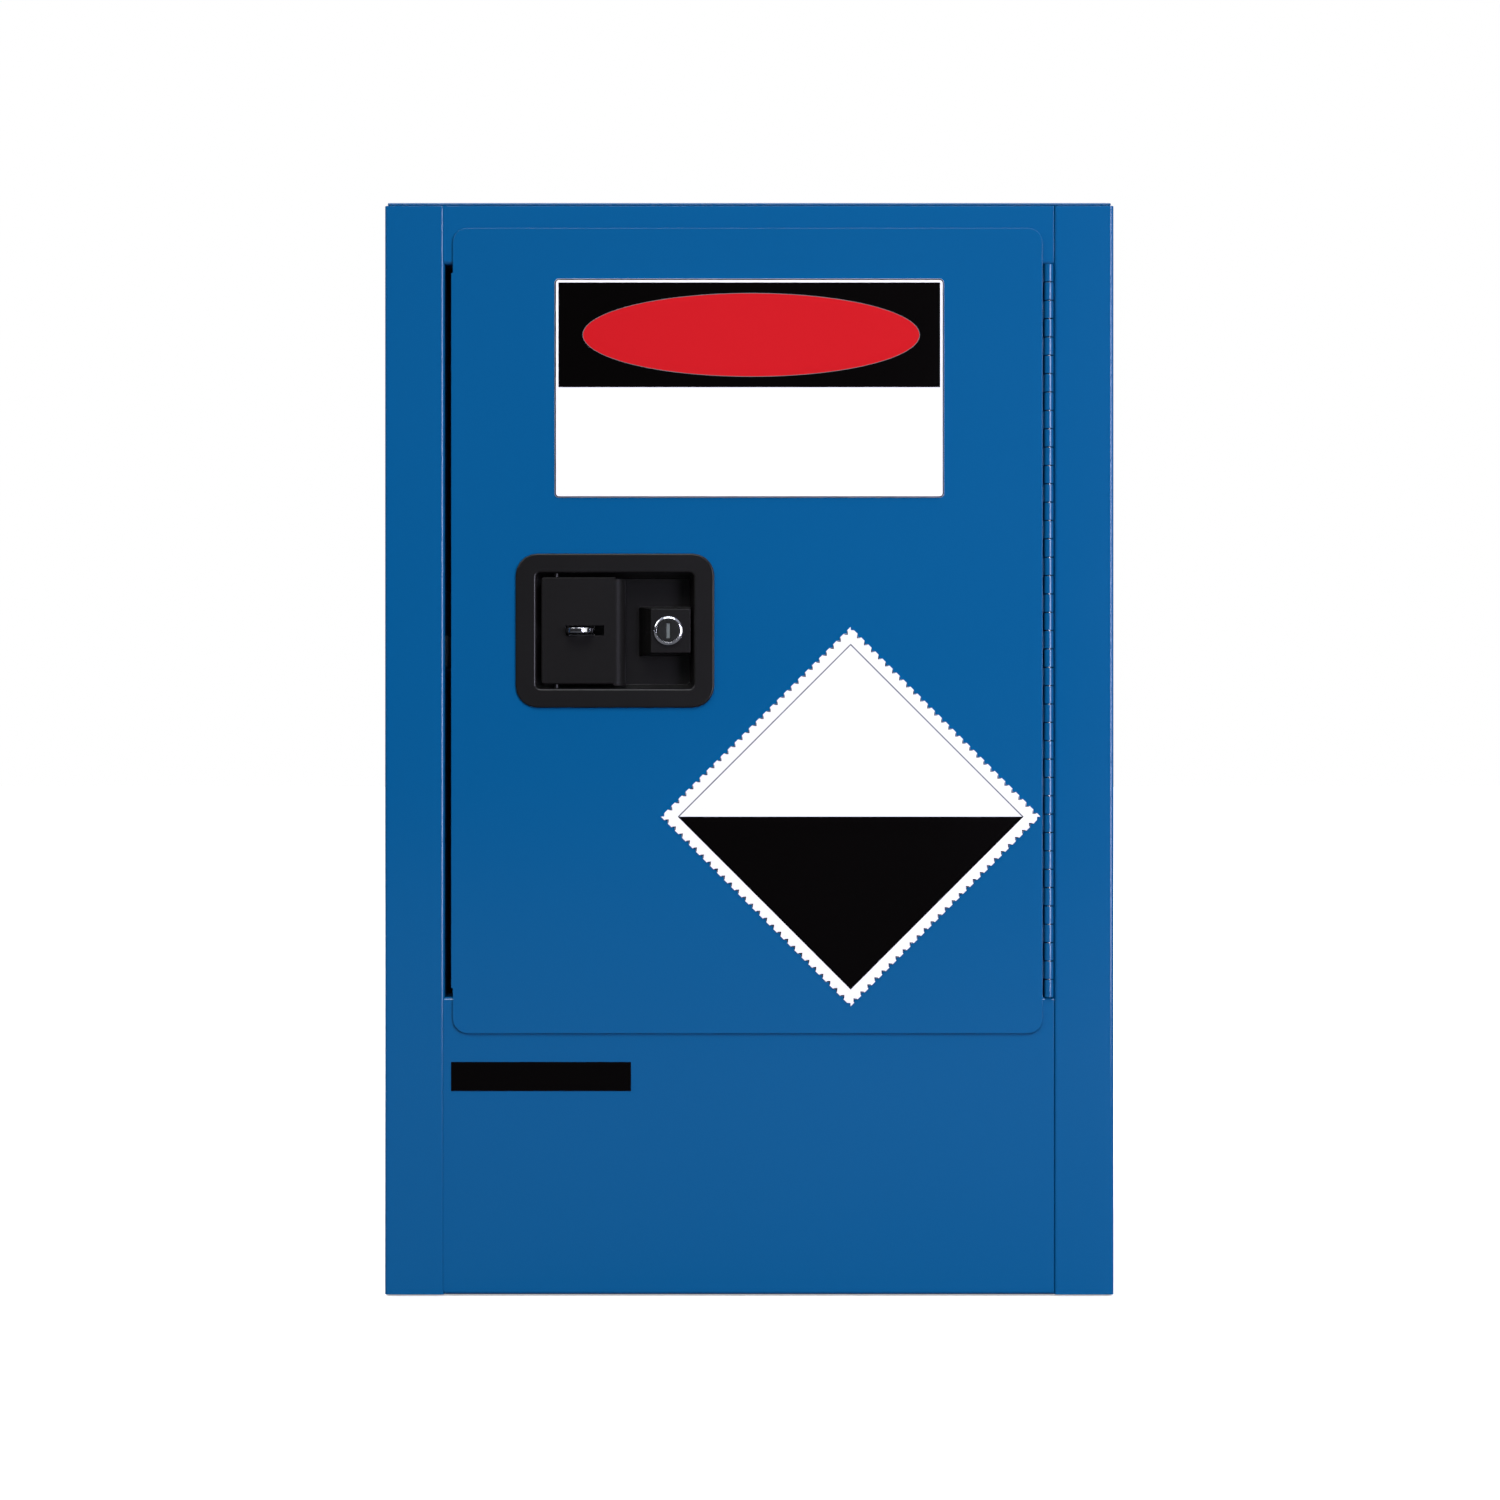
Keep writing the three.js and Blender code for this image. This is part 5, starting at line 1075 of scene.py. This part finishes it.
# The barrel: a crowned ring proud of the boss, its shank and its bore.
def make_barrel():
    low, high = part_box("lock_barrel")
    u, v = (low.x + high.x) / 2, (low.z + high.z) / 2
    ring = (high.x - low.x) / 2
    seat = low.y + RING_RISE
    crown = []
    for i in range(CROWN_STEPS + 1):
        share = i / CROWN_STEPS
        crown.append((BARREL_BORE + (ring - BARREL_BORE) * share,
                      low.y + CROWN_DROP * share ** 2))
    loop = [(BARREL_BORE, high.y)] + crown
    loop += [(ring, low.y + CROWN_DROP + CROWN_ROUND), (ring, seat), (BARREL_SHANK, seat),
             (BARREL_SHANK, high.y)]
    vertices, faces = turned_ring(loop, u, v, RING_SIDES)
    barrel = add_piece("chromed_barrel", vertices, faces, chrome, "door", "lock_chrome",
                       "lock_barrel")
    round_edges(barrel, RING_ROUNDING)
    barrel.modifiers.remove(barrel.modifiers["flat_faces"])


make_barrel()


# The shutter is a small plate, dished along its height, just inside the key slot.
def make_shutter():
    low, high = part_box("lock_plug")
    u, v = (low.x + high.x) / 2, (low.z + high.z) / 2
    half_u = KEY_SLOT[0] / 2 - SHUTTER_GAP
    half_v = KEY_SLOT[1] / 2 - SHUTTER_GAP
    front = low.y + SHUTTER_SINK
    vertices, faces = [], []
    for row in range(SHUTTER_ROWS + 1):
        share = 2 * row / SHUTTER_ROWS - 1
        face_y = front + SHUTTER_DISH * (1 - share * share)
        height = v + half_v * share
        vertices += [(u - half_u, face_y, height), (u + half_u, face_y, height),
                     (u + half_u, front + SHUTTER_SHEET, height),
                     (u - half_u, front + SHUTTER_SHEET, height)]
    for row in range(SHUTTER_ROWS):
        low_row, high_row = 4 * row, 4 * (row + 1)
        for i in range(4):
            j = (i + 1) % 4
            faces.append((low_row + i, low_row + j, high_row + j, high_row + i))
    faces.append((3, 2, 1, 0))
    top = 4 * SHUTTER_ROWS
    faces.append((top, top + 1, top + 2, top + 3))
    shutter = add_piece(
        "key_shutter", vertices, faces, shutter_grey, "lock", "stainless_steel")
    round_edges(shutter, SHUTTER_ROUNDING)
    shutter.modifiers.remove(shutter.modifiers["flat_faces"])


make_shutter()
for name in ("lock_nut", "lock_cam"):
    dress(name, zinc_plate, LOCK_ROUNDING)


# The rods, their rotor and the bracket over them: zinc-plated steel, worked by the leg
# of the paddle. The rods slide in nylon bushes in the edges of the door.
NATURAL_NYLON = {
    "dark": (0.74, 0.73, 0.68, 1.0), "light": (0.80, 0.79, 0.74, 1.0),
    "gloss": (0.42, 0.5), "specular": 0.4,
    "peel_size": 0.8 * MM, "peel_depth": 0.01 * MM, "cloud_size": 10 * MM}
LINKAGE_ROUNDING = 0.3 * MM

nylon = skin_material("natural_nylon", **NATURAL_NYLON)
for name in ("top_rod", "bottom_rod", "rotor", "latch_bracket", "bracket_screw"):
    dress(name, zinc_plate, LINKAGE_ROUNDING)
for name in ("rod_guide_top", "rod_guide_bottom"):
    dress(name, nylon, LINKAGE_ROUNDING)


# The shelf and the four clips that it rests on, which hook through slots in the liner:
# all bent from galvanised steel, which shows the flat crystals of its zinc.
SPANGLE_SIZE = 9 * MM
GALVANISED_DARK = (0.52, 0.54, 0.55, 1.0)
GALVANISED_LIGHT = (0.62, 0.64, 0.65, 1.0)
GALVANISED_GLOSS = (0.42, 0.52)
GALVANISED_LINES = 0.01 * MM
SHELF_ROUNDING = 0.4 * MM
CLIP_ROUNDING = 0.2 * MM


def make_galvanised():
    material, tree, shader = blank_material("galvanised_steel")
    place = node_of(tree, "ShaderNodeTexCoord")
    cells = node_of(tree, "ShaderNodeTexVoronoi")
    cells.inputs["Scale"].default_value = 1 / SPANGLE_SIZE
    tree.links.new(place.outputs["Object"], cells.inputs["Vector"])
    tone = node_of(tree, "ShaderNodeSeparateColor")
    tree.links.new(cells.outputs["Color"], tone.inputs["Color"])
    tree.links.new(colours_between(tree, tone.outputs["Red"], GALVANISED_DARK, GALVANISED_LIGHT),
                   shader.inputs["Base Color"])
    tree.links.new(between(tree, tone.outputs["Green"], *GALVANISED_GLOSS),
                   shader.inputs["Roughness"])
    metal = node_of(tree, "ShaderNodeGroup", node_tree=metal_texture)
    tree.links.new(bump_from(tree, metal.outputs["Lines"], GALVANISED_LINES, METAL_BUMP),
                   shader.inputs["Normal"])
    shader.inputs["Metallic"].default_value = 1.0
    return material


galvanised = make_galvanised()
dress("shelf", galvanised, SHELF_ROUNDING)
for end in ("front", "rear"):
    for side in ("left", "right"):
        dress(f"shelf_clip_{end}_{side}", galvanised, CLIP_ROUNDING)


# The trays on the shelf and in the sump: blue polypropylene, moulded in one piece, so
# every edge is well rounded.
BLUE_POLYPROPYLENE = {
    "dark": (0.014, 0.085, 0.225, 1.0), "light": (0.022, 0.105, 0.265, 1.0),
    "gloss": (0.42, 0.52), "specular": 0.45,
    "peel_size": 0.9 * MM, "peel_depth": 0.03 * MM, "cloud_size": 60 * MM}
TRAY_ROUNDING = 1.2 * MM

blue_plastic = skin_material("blue_polypropylene", **BLUE_POLYPROPYLENE)
for name in ("shelf_tray", "sump_tray"):
    dress(name, blue_plastic, TRAY_ROUNDING, 4)
